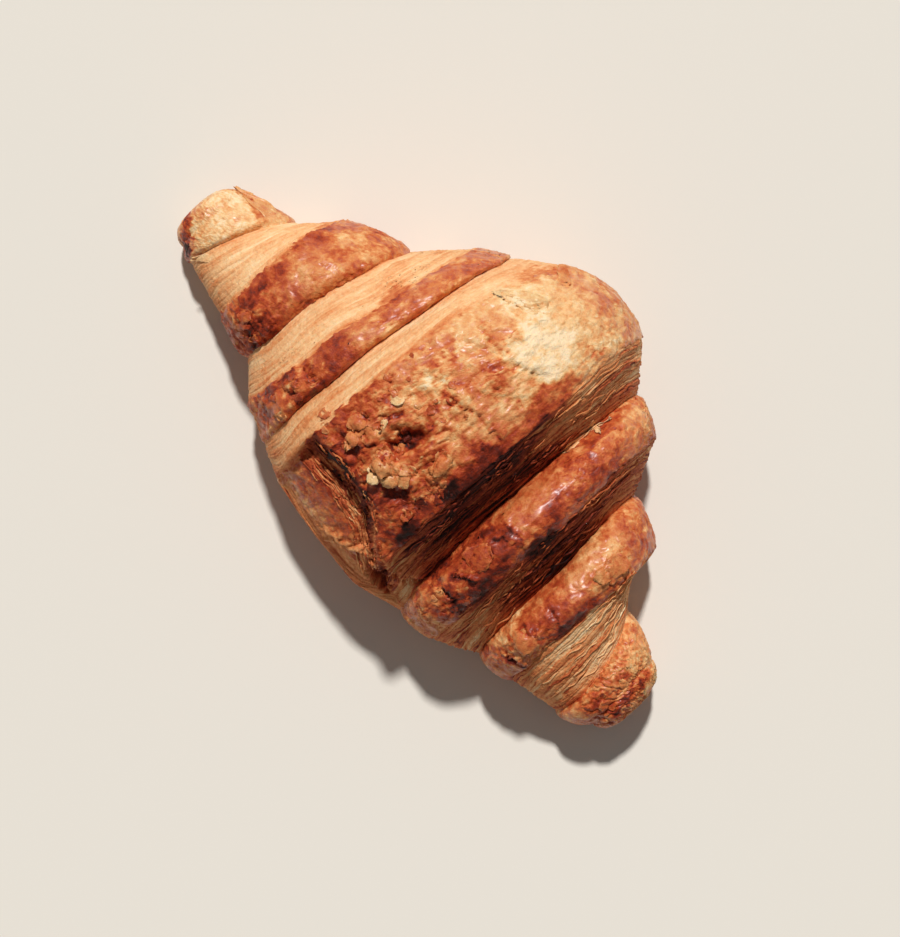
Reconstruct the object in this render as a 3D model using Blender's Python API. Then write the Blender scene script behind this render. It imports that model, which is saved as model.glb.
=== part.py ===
"""A plain croissant: one triangle of laminated dough, rolled from its base to its point and baked.

The roll is one solid. It is laid out in millimetres from the line through its two tips: x runs along
that line from the left tip to the right one, y across it towards the bulging side, and z up. The
outermost turn is the wide one in the middle. On each side of it the older turns come out from under
it, each a step lower and narrower, down to the two tips. A turn has a crust on top and a face, the
cut edge of the dough, which drops to the crease where the next turn comes out.

The finished mesh is moved so that the origin lies under the middle of its box, and put in metres.
"""

import math
from dataclasses import astuple, dataclass

import bmesh
import bpy
from mathutils import Vector

METRES = 0.001
COLUMNS = 68  # points round each ring

# The section: how square its dome and its underside are, and how high it is widest.
DOME_POWER = 2.15
UNDERSIDE_POWER = 2.7
WIDEST_AT = 0.42  # of the height above the foot
PRESSED_FLAT = 0.10  # of the height, cut off underneath by the tray

# Round the edges and creases, as mm that the crust rolls down, over a share of its length.
EDGE_ROLL = 0.6
CREASE_ROLL = 2.4
ROLL_REACH = 0.26
FACE_BULGE = 0.35  # mm that a face swells between its crease and its edge

# The last turn's tail: a flap whose end crosses the hollow side a step above the turn under it.
TAIL_STEP = 0.17  # of the height above the widest level
TAIL_SPAN = (-20.0, 11.5)  # mm along x
TAIL_CORNER = -15.0  # mm across, at its left corner
TAIL_SLANT = -0.09  # dy/dx of its end
NOSE_FROM = -1.0  # mm along x, past which the flap's end runs down to its nose
NOSE_SLANT = -0.68
TAIL_SOFTNESS = 3.5  # mm over which the step falls

LEFT_END = -76.3  # mm along x, where the tips end
RIGHT_END = 73.8
LEFT_POWER = 2.6  # how blunt the two ends are
RIGHT_POWER = 2.3


@dataclass(frozen=True)
class Ring:
    """A slanted section of the roll, on the sheet x = along + lean * y + bow * y^2."""

    along: float
    lean: float
    bow: float
    low: float  # mm across, on the hollow side
    high: float  # mm across, on the bulging side
    top: float
    foot: float

    def swollen(self, amount):
        """The same ring, grown at its sides and top."""
        sides = (self.low - amount, self.high + amount, self.top + amount)
        return Ring(self.along, self.lean, self.bow, *sides, self.foot)

    def point(self, angle):
        """The point of the section at an angle, counted from the bulging side over the top."""
        level = self.foot + (self.top - self.foot) * WIDEST_AT
        power = DOME_POWER if math.sin(angle) > 0 else UNDERSIDE_POWER
        across = math.copysign(abs(math.cos(angle)) ** (2 / power), math.cos(angle))
        up = math.copysign(abs(math.sin(angle)) ** (2 / power), math.sin(angle))
        depth = level - self.foot + (self.top - self.foot) * PRESSED_FLAT
        y = (self.low + self.high) / 2 + across * (self.high - self.low) / 2
        z = level + up * (self.top - level if up > 0 else depth)
        x = self.along + self.lean * y + self.bow * y * y
        return Vector((x, y, tail_height(x, y, max(z, self.foot), level)))


LEFT_TIP = Ring(-71.5, 0.12, 0.0000, -6.6, 11.6, 16.5, 1.6)
LEFT_NECK = Ring(-68.3, 0.30, 0.0020, -7.8, 13.8, 18.3, 1.4)
LEFT_CREASE_3 = Ring(-65.3, 0.44, 0.0040, -8.0, 14.8, 17.6, 1.5)
LEFT_EDGE_2 = Ring(-54.9, 0.06, 0.0060, -12.0, 22.8, 28.0, 0.6)
LEFT_CRUST_2 = Ring(-48.6, 0.10, 0.0050, -13.9, 27.2, 32.0, 0.0)
LEFT_CREASE_2 = Ring(-42.2, 0.13, 0.0050, -13.8, 27.4, 28.5, 0.8)
LEFT_EDGE_1 = Ring(-33.6, 0.16, 0.0018, -21.2, 39.0, 40.5, 0.0)
LEFT_CRUST_1 = Ring(-29.8, 0.13, 0.0020, -23.0, 42.6, 43.0, 0.0)
LEFT_CREASE_1 = Ring(-26.0, 0.10, 0.0022, -24.2, 42.0, 38.5, 0.8)
MIDDLE_LEFT_EDGE = Ring(-20.3, 0.06, 0.0035, -29.0, 50.5, 49.5, 0.0)
MIDDLE_CRUST = Ring(-4.0, 0.07, 0.0015, -31.2, 54.0, 53.0, 0.0)
MIDDLE_RIGHT_EDGE = Ring(11.8, 0.07, 0.0000, -32.3, 51.4, 50.5, 0.0)
RIGHT_CREASE_1 = Ring(20.0, 0.03, 0.0018, -29.4, 41.5, 35.0, 1.0)
RIGHT_CRUST_1 = Ring(26.0, 0.04, 0.0009, -30.0, 40.6, 41.5, 0.0)
RIGHT_EDGE_1 = Ring(32.0, 0.05, 0.0000, -28.8, 37.4, 39.0, 0.0)
RIGHT_CREASE_2 = Ring(39.6, -0.02, 0.0000, -24.0, 25.6, 26.5, 0.8)
RIGHT_CRUST_2 = Ring(45.5, 0.02, 0.0000, -25.0, 23.4, 32.0, 0.0)
RIGHT_EDGE_2 = Ring(51.0, 0.05, -0.0010, -23.2, 19.2, 29.0, 0.3)
RIGHT_CREASE_3 = Ring(59.8, -0.43, -0.0180, -21.0, 6.2, 19.5, 1.0)
RIGHT_NECK = Ring(64.5, -0.16, -0.0060, -20.8, 4.6, 22.0, 0.8)
RIGHT_TIP = Ring(68.4, -0.05, 0.0000, -17.6, 1.6, 20.0, 1.0)


def smooth(share):
    """0 to 1 with a level start and end."""
    share = min(max(share, 0.0), 1.0)
    return share * share * (3 - 2 * share)


def tail_height(x, y, z, level):
    """The height of a dome point, lowered where the last turn's flap has ended."""
    line = TAIL_CORNER + TAIL_SLANT * (x - TAIL_SPAN[0]) + NOSE_SLANT * max(0.0, x - NOSE_FROM)
    past = smooth((line - y) / TAIL_SOFTNESS)
    inside = smooth((x - TAIL_SPAN[0]) / TAIL_SOFTNESS) * smooth((TAIL_SPAN[1] - x) / TAIL_SOFTNESS)
    return z - TAIL_STEP * past * inside * max(0.0, z - level)


def blend(rings, weights):
    """The weighted mean of some rings."""
    columns = zip(*(astuple(ring) for ring in rings), strict=True)
    return Ring(*(sum(w * v for w, v in zip(weights, column, strict=True)) for column in columns))


def face(crease, edge, count):
    """The rings of a face from its crease up to just below the edge of its crust."""
    shares = [i / count for i in range(count)]
    return [blend((crease, edge), (1 - s, s)).swollen(FACE_BULGE * math.sin(math.pi * s)) for s in shares]


def cliff(edge, crease, count):
    """The rings of a face that drops away to the right, from its edge to just above its crease."""
    return [edge] + face(crease, edge, count)[:0:-1]


def crust(first, middle, last, count, rolls):
    """The rings of a crust, on a parabola through three rings, rolled down by rolls mm at its ends."""
    rings = []
    stations = (first.swollen(rolls[0]), middle, last.swollen(rolls[1]))
    for i in range(count):
        s = i / count
        ring = blend(stations, ((1 - s) * (1 - 2 * s), 4 * s * (1 - s), s * (2 * s - 1)))
        at_start = max(0.0, 1 - s / ROLL_REACH) ** 2
        at_end = max(0.0, 1 - (1 - s) / ROLL_REACH) ** 2
        rings.append(ring.swollen(-rolls[0] * at_start - rolls[1] * at_end))
    return rings


def cap(end, ring, count, power):
    """The rings of a rounded end, from just inside its pole to just short of its first full ring."""
    across = (ring.low + ring.high) / 2
    level = ring.foot + (ring.top - ring.foot) * WIDEST_AT
    pole = Ring(ring.along, 0.0, 0.0, across, across, level, level)
    rings = []
    for i in range(1, count):
        out = 1 - (i / count) ** 1.6
        size = (1 - out**power) ** (1 / power)
        shrunk = astuple(blend((ring, pole), (size, 1 - size)))
        rings.append(Ring(ring.along + (end - ring.along) * out, *shrunk[1:]))
    return rings


def all_rings():
    """Every ring of the roll, from the left pole to the right one."""
    rings = cap(LEFT_END, LEFT_TIP, 4, LEFT_POWER)
    rings += crust(LEFT_TIP, LEFT_NECK, LEFT_CREASE_3, 3, (0.0, 1.2))
    rings += face(LEFT_CREASE_3, LEFT_EDGE_2, 4)
    rings += crust(LEFT_EDGE_2, LEFT_CRUST_2, LEFT_CREASE_2, 6, (EDGE_ROLL, CREASE_ROLL))
    rings += face(LEFT_CREASE_2, LEFT_EDGE_1, 4)
    rings += crust(LEFT_EDGE_1, LEFT_CRUST_1, LEFT_CREASE_1, 5, (EDGE_ROLL, CREASE_ROLL))
    rings += face(LEFT_CREASE_1, MIDDLE_LEFT_EDGE, 3)
    rings += crust(MIDDLE_LEFT_EDGE, MIDDLE_CRUST, MIDDLE_RIGHT_EDGE, 10, (EDGE_ROLL, EDGE_ROLL))
    rings += cliff(MIDDLE_RIGHT_EDGE, RIGHT_CREASE_1, 4)
    rings += crust(RIGHT_CREASE_1, RIGHT_CRUST_1, RIGHT_EDGE_1, 5, (CREASE_ROLL, EDGE_ROLL))
    rings += cliff(RIGHT_EDGE_1, RIGHT_CREASE_2, 4)
    rings += crust(RIGHT_CREASE_2, RIGHT_CRUST_2, RIGHT_EDGE_2, 5, (CREASE_ROLL, EDGE_ROLL))
    rings += cliff(RIGHT_EDGE_2, RIGHT_CREASE_3, 4)
    rings += crust(RIGHT_CREASE_3, RIGHT_NECK, RIGHT_TIP, 3, (1.2, 0.0))
    rings += [RIGHT_TIP] + cap(RIGHT_END, RIGHT_TIP, 5, RIGHT_POWER)[::-1]
    return rings


def pole(end, ring):
    """The point that closes an end."""
    return Vector((end, (ring.low + ring.high) / 2, (ring.top + ring.foot) / 2))


def roll_mesh():
    """A globe whose circles of latitude are drawn out onto the rings."""
    rings = all_rings()
    places = [pole(LEFT_END, rings[0])]
    for ring in rings:
        places += [ring.point(2 * math.pi * column / COLUMNS) for column in range(COLUMNS)]
    places.append(pole(RIGHT_END, rings[-1]))

    globe = bmesh.new()
    bmesh.ops.create_uvsphere(globe, u_segments=COLUMNS, v_segments=len(rings) + 1, radius=1.0)

    def order(vert):
        turn = math.atan2(vert.co.y, vert.co.x) % (2 * math.pi)
        row = round(math.acos(max(-1.0, min(1.0, -vert.co.z))) * (len(rings) + 1) / math.pi)
        return row, round(turn * COLUMNS / (2 * math.pi)) % COLUMNS

    for vert, place in zip(sorted(globe.verts, key=order), places, strict=True):
        vert.co = place
    lows = [min(place[i] for place in places) for i in range(3)]
    highs = [max(place[i] for place in places) for i in range(3)]
    middle = Vector(((lows[0] + highs[0]) / 2, (lows[1] + highs[1]) / 2, lows[2]))
    bmesh.ops.translate(globe, verts=globe.verts, vec=-middle)
    bmesh.ops.scale(globe, verts=globe.verts, vec=(METRES, METRES, METRES))
    bmesh.ops.triangulate(globe, faces=globe.faces)
    bmesh.ops.recalc_face_normals(globe, faces=globe.faces)
    mesh = bpy.data.meshes.new("croissant")
    globe.to_mesh(mesh)
    globe.free()
    return mesh


def baked_crust():
    """The brown of the crust."""
    material = bpy.data.materials.new("baked_crust")
    material.use_nodes = True
    shader = material.node_tree.nodes["Principled BSDF"]
    shader.inputs["Base Color"].default_value = (0.46, 0.18, 0.05, 1.0)
    shader.inputs["Roughness"].default_value = 0.45
    shader.inputs["Metallic"].default_value = 0.0
    return material


for thing in list(bpy.data.objects):
    bpy.data.objects.remove(thing, do_unlink=True)

croissant = bpy.data.objects.new("croissant", roll_mesh())
croissant.data.materials.append(baked_crust())
croissant.data.shade_smooth()
bpy.context.scene.collection.objects.link(croissant)
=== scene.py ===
"""A baked croissant: seven turns of laminated dough, with their crust, cut layers, flakes and scorches.

The dough is laid out in millimetres, as it was rolled: x along the roll from the left tip to the right
one, y across it towards the bulging side and z up. A turn has a crust on top. Its cut edge is a face,
where the layers of the dough show, and which drops to the crease where the next turn comes out.
"""

import logging
import math
from collections.abc import Callable, Sequence
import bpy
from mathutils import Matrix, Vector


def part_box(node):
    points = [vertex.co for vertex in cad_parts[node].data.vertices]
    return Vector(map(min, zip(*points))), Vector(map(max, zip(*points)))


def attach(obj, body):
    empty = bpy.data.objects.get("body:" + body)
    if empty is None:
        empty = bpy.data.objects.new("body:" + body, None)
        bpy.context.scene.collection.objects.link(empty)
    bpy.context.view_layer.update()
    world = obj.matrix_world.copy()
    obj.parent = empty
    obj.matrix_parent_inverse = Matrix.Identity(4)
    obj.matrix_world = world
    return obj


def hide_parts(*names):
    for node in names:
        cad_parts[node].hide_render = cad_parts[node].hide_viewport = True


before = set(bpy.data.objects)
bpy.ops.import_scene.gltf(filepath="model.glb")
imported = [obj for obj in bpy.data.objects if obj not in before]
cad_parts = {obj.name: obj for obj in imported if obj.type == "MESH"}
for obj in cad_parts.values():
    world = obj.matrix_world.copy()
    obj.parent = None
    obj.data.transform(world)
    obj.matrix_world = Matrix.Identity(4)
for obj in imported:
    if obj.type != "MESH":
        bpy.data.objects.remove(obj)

from concurrent.futures import ThreadPoolExecutor
from dataclasses import dataclass, field
from enum import Enum
from itertools import product

import bpy
import numpy as np
from mathutils import Vector

log = logging.getLogger("croissant")

NODE = "croissant"
METRES = 0.001
MIDDLE = (6.07, 0.24)
TAPER_FROM = 15.0
TAPER_LENGTH = 474.0


def smooth(share: np.ndarray | float) -> np.ndarray:
    """Rise from 0 to 1 with a level start and end."""
    share = np.clip(share, 0.0, 1.0)
    return share * share * (3 - 2 * share)


def rise(low: float, high: float, value: np.ndarray) -> np.ndarray:
    """Rise smoothly from 0 at low to 1 at high."""
    return smooth((value - low) / (high - low))


def toward(value: np.ndarray, goal: np.ndarray | float, weight: np.ndarray) -> np.ndarray:
    """Move a value part of the way to a goal."""
    return value + (goal - value) * weight


def drawn_in(points: np.ndarray) -> np.ndarray:
    """Bring what stands above the widest level a little nearer to the middle of the roll.

    Args:
        points: Places in millimetres.

    Returns:
        The places, drawn in by their height.
    """
    share = 1 - np.maximum(points[..., 2:] - TAPER_FROM, 0) / TAPER_LENGTH
    middle = np.array(MIDDLE)
    return np.concatenate([middle + (points[..., :2] - middle) * share, points[..., 2:]], axis=-1)


class Grain:
    """Repeatable random fields over space, the same on each run."""

    ENTRIES = 1024

    def __init__(self, seed: int) -> None:
        """Draw the tables of slopes and seats."""
        rng = np.random.default_rng(seed)
        self.table = rng.permutation(self.ENTRIES)
        slopes = rng.normal(size=(self.ENTRIES, 3))
        self.slopes = slopes / np.linalg.norm(slopes, axis=1, keepdims=True)
        self.seats = rng.random((self.ENTRIES, 3))

    def _entry(self, cells: np.ndarray) -> np.ndarray:
        """Number the table entry of each cell."""
        last = self.ENTRIES - 1
        deep = self.table[cells[..., 2] & last]
        return self.table[(cells[..., 0] + self.table[(cells[..., 1] + deep) & last]) & last]

    def waves(self, points: np.ndarray, size: float | Sequence[float]) -> np.ndarray:
        """Smooth waves between about -1 and 1.

        Args:
            points: Places, as an array whose last axis is x, y, z.
            size: The distance between waves, one for all axes or one for each.

        Returns:
            A height for each place.
        """
        spots = points / np.asarray(size, float)
        floors = np.floor(spots)
        cells = floors.astype(np.int64)
        part = spots - floors
        ease = part**3 * (part * (part * 6 - 15) + 10)
        shares = [(1 - ease[..., axis], ease[..., axis]) for axis in range(3)]
        gaps = [(part[..., axis], part[..., axis] - 1) for axis in range(3)]
        total = np.zeros(points.shape[:-1])
        for a, b, c in product((0, 1), repeat=3):
            slope = self.slopes[self._entry(cells + np.array((a, b, c)))]
            along = slope[..., 0] * gaps[0][a] + slope[..., 1] * gaps[1][b] + slope[..., 2] * gaps[2][c]
            total += shares[0][a] * shares[1][b] * shares[2][c] * along
        return total * 1.7

    def layered(self, points: np.ndarray, size: float, octaves: int = 3, gain: float = 0.55) -> np.ndarray:
        """Waves with finer waves on them.

        Args:
            points: Places, as an array whose last axis is x, y, z.
            size: The distance between the largest waves.
            octaves: How many sizes of wave there are, each half the last.
            gain: The height of each size against the last.

        Returns:
            A height for each place, between about -1 and 1.
        """
        total = np.zeros(points.shape[:-1])
        reach = 0.0
        for octave in range(octaves):
            total += self.waves(points + 17.3 * octave, size / 2**octave) * gain**octave
            reach += gain**octave
        return total / reach

    def plates(self, points: np.ndarray, size: float) -> tuple[np.ndarray, np.ndarray, np.ndarray]:
        """Irregular plates that meet at cracks.

        Args:
            points: Places, as an array whose last axis is x, y, z.
            size: How far apart the plates' middles are.

        Returns:
            The distance to the nearest crack, a random share for each plate, and how far the place
            lies along a random direction from the plate's middle, all three in units of size.
        """
        spots = points / size
        cells = np.floor(spots).astype(np.int64)
        shape = points.shape[:-1]
        first = np.full(shape, 9.0)
        second = np.full(shape, 9.0)
        entry = np.zeros(shape, np.int64)
        away = np.zeros(points.shape)
        for corner in product((-1, 0, 1), repeat=3):
            cell = cells + np.array(corner)
            number = self._entry(cell)
            gap = spots - (cell + self.seats[number])
            reach = np.sqrt(np.sum(gap * gap, axis=-1))
            nearer = reach < first
            second = np.where(nearer, first, np.minimum(second, reach))
            first = np.where(nearer, reach, first)
            entry = np.where(nearer, number, entry)
            away = np.where(nearer[..., None], gap, away)
        share = self.seats[(entry * 7 + 3) % self.ENTRIES, 0]
        lean = np.sum(away * self.slopes[(entry * 5 + 1) % self.ENTRIES], axis=-1)
        return second - first, share, lean


@dataclass(frozen=True)
class Ring:
    """A slanted section of the roll, on the sheet x = along + lean * y + bow * y^2, in millimetres."""

    along: float
    lean: float
    bow: float
    low: float
    high: float
    top: float
    foot: float

    def row(self) -> np.ndarray:
        """The ring as an array."""
        return np.array([self.along, self.lean, self.bow, self.low, self.high, self.top, self.foot])


SWELL = np.array([0.0, 0.0, 0.0, -0.5, 0.5, 1.0, 0.0])
WIDEST_AT = 0.42
DOME_POWER = 2.15
UNDERSIDE_POWER = 2.7
PRESSED_FLAT = 0.10


@dataclass(frozen=True)
class Rings:
    """The rings that bound the turns."""

    left_tip: Ring = Ring(-71.5, 0.12, 0.0000, -6.6, 11.6, 16.5, 1.6)
    left_neck: Ring = Ring(-68.3, 0.30, 0.0020, -7.8, 13.8, 18.3, 1.4)
    left_crease_3: Ring = Ring(-65.3, 0.44, 0.0040, -8.0, 14.8, 17.6, 1.5)
    left_edge_2: Ring = Ring(-54.9, 0.06, 0.0060, -12.0, 22.8, 28.0, 0.6)
    left_crust_2: Ring = Ring(-47.8, 0.10, 0.0050, -13.9, 27.0, 32.2, 0.0)
    left_crease_2: Ring = Ring(-42.2, 0.13, 0.0050, -14.2, 28.2, 31.0, 0.8)
    left_edge_1: Ring = Ring(-33.6, 0.16, 0.0018, -21.2, 39.0, 40.5, 0.0)
    left_crust_1: Ring = Ring(-29.0, 0.13, 0.0020, -23.2, 42.0, 43.4, 0.0)
    left_crease_1: Ring = Ring(-26.0, 0.10, 0.0022, -24.8, 42.6, 41.6, 0.8)
    middle_left_edge: Ring = Ring(-20.3, 0.06, 0.0035, -29.0, 50.5, 49.5, 0.0)
    middle_crust: Ring = Ring(-4.0, 0.07, 0.0015, -31.2, 54.0, 53.0, 0.0)
    middle_right_edge: Ring = Ring(11.8, 0.07, 0.0000, -32.3, 51.4, 50.5, 0.0)
    right_crease_1: Ring = Ring(20.0, 0.03, 0.0018, -29.4, 41.5, 35.0, 1.0)
    right_crust_1: Ring = Ring(26.0, 0.04, 0.0009, -30.0, 40.6, 41.5, 0.0)
    right_edge_1: Ring = Ring(32.0, 0.05, 0.0000, -28.8, 37.4, 39.0, 0.0)
    right_crease_2: Ring = Ring(39.6, -0.02, 0.0000, -24.0, 25.6, 26.5, 0.8)
    right_crust_2: Ring = Ring(45.5, 0.02, 0.0000, -25.0, 23.4, 32.0, 0.0)
    right_edge_2: Ring = Ring(51.0, 0.05, -0.0010, -23.2, 19.2, 29.0, 0.3)
    right_crease_3: Ring = Ring(59.8, -0.43, -0.0180, -21.0, 6.2, 19.5, 1.0)
    right_neck: Ring = Ring(64.5, -0.16, -0.0060, -20.8, 4.6, 22.0, 0.8)
    right_tip: Ring = Ring(68.4, -0.05, 0.0000, -17.6, 1.6, 20.0, 1.0)


LEFT_END = -76.3
RIGHT_END = 73.8


class Bake(Enum):
    """How far a spot is baked, as the browning level that it is painted to. Some spots use these levels for
    painted shade or painted highlight.
    """

    CREAM = 0.02
    STRAW = 0.16
    GOLD = 0.30
    TAN = 0.42
    RUSSET = 0.55
    CHESTNUT = 0.67
    MAHOGANY = 0.80
    BURNT = 0.93


@dataclass(frozen=True)
class Spot:
    """A soft oval on the top that is baked, glazed or cut open otherwise than what is round it. Some spots
    are painted shade, and some paint a highlight under the glaze.
    """

    x: float
    y: float
    wide: float
    tall: float
    bake: Bake
    strength: float = 0.8
    turned: float = 0.0
    soft: float = 0.35
    gloss: float | None = None
    layers: float | None = None


@dataclass(frozen=True)
class Lump:
    """A soft oval on the top that stands out, or with a negative height sinks in."""

    x: float
    y: float
    wide: float
    tall: float
    height: float
    turned: float = 0.0
    soft: float = 0.9


@dataclass(frozen=True)
class Fan:
    """Wrinkles that spread from a point, painted lighter on their ridges and darker between them, as painted
    highlight and shade.

    Attributes:
        x: Where the point lies along the roll.
        y: Where the point lies across it.
        wrinkles: How many wrinkles a whole turn round the point would hold.
        height: How high they stand.
        near: How far from the point they begin.
        far: How far from the point they end.
        drift: How far they stray from straight.
    """

    x: float
    y: float
    wrinkles: float
    height: float
    near: float
    far: float
    drift: float = 1.2


@dataclass(frozen=True)
class Fold:
    """A crack or a step in the crust, along a line of points, painted darker along its groove as painted
    shade. Past it, to its left, the crust is raised.
    """

    points: tuple[tuple[float, float], ...]
    depth: float
    width: float = 0.45
    step: float = 0.0
    reach: float = 3.0


def oval(spots: np.ndarray, mark: Spot | Lump) -> np.ndarray:
    """Weigh places by an oval.

    Args:
        spots: Places, as an array whose last axis starts with x, y.
        mark: The oval's middle, half sizes, turn in degrees and softness.

    Returns:
        1 inside, 0 outside and a soft edge between.
    """
    turn = math.radians(mark.turned)
    dx = spots[..., 0] - mark.x
    dy = spots[..., 1] - mark.y
    across = (dx * math.cos(turn) + dy * math.sin(turn)) / mark.wide
    up = (dy * math.cos(turn) - dx * math.sin(turn)) / mark.tall
    reach = np.sqrt(across**2 + up**2)
    return 1 - rise(1 - mark.soft, 1 + mark.soft, reach)


def beside(
    spots: np.ndarray, points: Sequence[tuple[float, float]]
) -> tuple[np.ndarray, np.ndarray, np.ndarray]:
    """Measure places against a line of points.

    Args:
        spots: Places, as an array whose last axis starts with x, y.
        points: The line's points.

    Returns:
        The distance to the line, positive to its left, how far along it the nearest point is, and
        a weight that fades to 0 past its ends.
    """
    best = np.full(spots.shape[:-1], 1e9)
    side = np.zeros_like(best)
    along = np.zeros_like(best)
    past = np.zeros_like(best)
    start = 0.0
    total = sum(math.dist(a, b) for a, b in zip(points, points[1:]))
    for a, b in zip(points, points[1:]):
        length = math.dist(a, b)
        ux, uy = (b[0] - a[0]) / length, (b[1] - a[1]) / length
        dx, dy = spots[..., 0] - a[0], spots[..., 1] - a[1]
        run = dx * ux + dy * uy
        held = np.clip(run, 0, length)
        away = np.hypot(dx - held * ux, dy - held * uy)
        nearer = away < best
        best = np.where(nearer, away, best)
        side = np.where(nearer, np.sign(dy * ux - dx * uy), side)
        along = np.where(nearer, start + held, along)
        past = np.where(nearer, np.abs(run - held), past)
        start += length
    ends = np.minimum(along, total - along) / (0.18 * total)
    return best * side, along, smooth(ends) * (1 - rise(0, 2, past))


Shape = Callable[[np.ndarray], np.ndarray]
FACE_BULGE = 0.35
ROLL_REACH = 0.26
EDGE_ROLL = 0.6
CREASE_ROLL = 1.5
TIP_ROLL = 1.2
PROUD = 0.14


@dataclass(frozen=True)
class Stretch:
    """A run of rings, as a function of the share along it.

    Attributes:
        shape: Gives a ring row for each share from 0 to 1.
        pitch: The distance between rings, in millimetres along the crown.
        shown: Whether it shows, or is tucked inside a neighbour.
        crust: Whether it is crust, between the edges of the turn.
    """

    shape: Shape
    pitch: float
    shown: bool = True
    crust: bool = False

    def rows(self) -> np.ndarray:
        """Lay the rings at the pitch, without the last one."""
        crown = self.shape(np.linspace(0, 1, 60))[:, [0, 5]]
        length = float(np.sum(np.hypot(*np.diff(crown, axis=0).T)))
        count = max(3, round(length / self.pitch))
        return self.shape(np.arange(count) / count)

    def turned(self) -> "Stretch":
        """The same run, laid the other way round."""
        return Stretch(lambda share: self.shape(1 - share), self.pitch, self.shown, self.crust)


def face(crease: Ring, edge: Ring, pitch: float) -> Stretch:
    """A cut face, from its crease up to the edge of its crust."""
    low, high = crease.row(), edge.row()

    def shape(share: np.ndarray) -> np.ndarray:
        """Blend the two rings, swollen a little between them."""
        bulge = FACE_BULGE * np.sin(math.pi * share)
        return low + (high - low) * share[:, None] + SWELL * bulge[:, None]

    return Stretch(shape, pitch)


def crust(first: Ring, middle: Ring, last: Ring, rolls: tuple[float, float], pitch: float) -> Stretch:
    """A crust, on a parabola through three rings, rolled down at its ends."""
    start = first.row() + SWELL * rolls[0]
    end = last.row() + SWELL * rolls[1]

    def shape(share: np.ndarray) -> np.ndarray:
        """Weigh the three rings and roll the ends."""
        s = share[:, None]
        rings = start * (1 - s) * (1 - 2 * s) + middle.row() * 4 * s * (1 - s) + end * s * (2 * s - 1)
        at_start = np.maximum(0, 1 - s / ROLL_REACH) ** 2
        at_end = np.maximum(0, 1 - (1 - s) / ROLL_REACH) ** 2
        return rings - SWELL * (rolls[0] * at_start + rolls[1] * at_end)

    return Stretch(shape, pitch, crust=True)


def cap(end: float, ring: Ring, power: float, pitch: float) -> Stretch:
    """A rounded end, from its pole to its first full ring."""
    full = ring.row()
    across, level = (ring.low + ring.high) / 2, ring.foot + (ring.top - ring.foot) * WIDEST_AT
    pole = np.array([ring.along, 0, 0, across, across, level, level])

    def shape(share: np.ndarray) -> np.ndarray:
        """Shrink the ring towards the pole."""
        out = 1 - np.maximum(share, 0.02) ** 1.6
        size = (1 - out**power) ** (1 / power)
        rings = pole + (full - pole) * size[:, None]
        rings[:, 0] = ring.along + (end - ring.along) * out
        return rings

    return Stretch(shape, pitch, crust=True)


def tuck(ring: np.ndarray, inner: np.ndarray) -> Stretch:
    """A run out of sight, from a ring to another inside a neighbour."""
    return Stretch(lambda share: ring + (inner - ring) * share[:, None], 0.8, shown=False)


def plug(ring: np.ndarray) -> Stretch:
    """The flat closing of a tucked end, from its ring nearly to its middle."""
    middle = ring.copy()
    middle[3:5] = ring[3:5].mean()
    middle[5:7] = ring[5:7].mean()
    return Stretch(lambda share: ring + (middle - ring) * share[:, None] * 0.8, 4.0, shown=False)


def beneath(ring: Ring, shift: float, sink: float) -> np.ndarray:
    """The ring moved along the roll and shrunk, to hide inside a neighbour."""
    inner = ring.row() - SWELL * sink
    inner[0] += shift
    inner[6] += sink
    return inner


def behind(crease: Ring, edge: Ring) -> np.ndarray:
    """A face's ring carried on past its crease, inside the neighbour."""
    inner = crease.row() + (crease.row() - edge.row()) * 0.35
    inner[6] = max(crease.foot, edge.foot) + 1.0
    return inner


@dataclass(frozen=True)
class FaceLook:
    """How the layers show on a cut face.

    Attributes:
        bake: Browning along it, as pairs of y and level. On the steep right faces it is higher where they lie
            in shadow, as painted shade.
        pitch: The thickness of a layer.
        height: How far the layers stand out.
        streaks: How much one layer's browning differs from the next one's.
        gaps: How much darker the lines between the layers are, as painted shade in the gaps.
        rough: How much the layers wander in short waves.
    """

    bake: tuple[tuple[float, float], ...]
    pitch: float = 0.95
    height: float = 0.15
    streaks: float = 0.11
    gaps: float = 0.06
    rough: float = 1.0


@dataclass
class Coat:
    """What is painted on a skin, a number for each of its points."""

    # Browning, with painted shade and painted highlight in places.
    bake: np.ndarray
    layers: np.ndarray
    gloss: np.ndarray


@dataclass
class Cut:
    """A place where the dough's layers show.

    Attributes:
        look: How it looks.
        mask: How far each point belongs to it.
        depth: How far below the outermost layer each point is.
        along: How far along the layers each point is.
    """

    look: FaceLook
    mask: np.ndarray
    depth: np.ndarray
    along: np.ndarray


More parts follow.
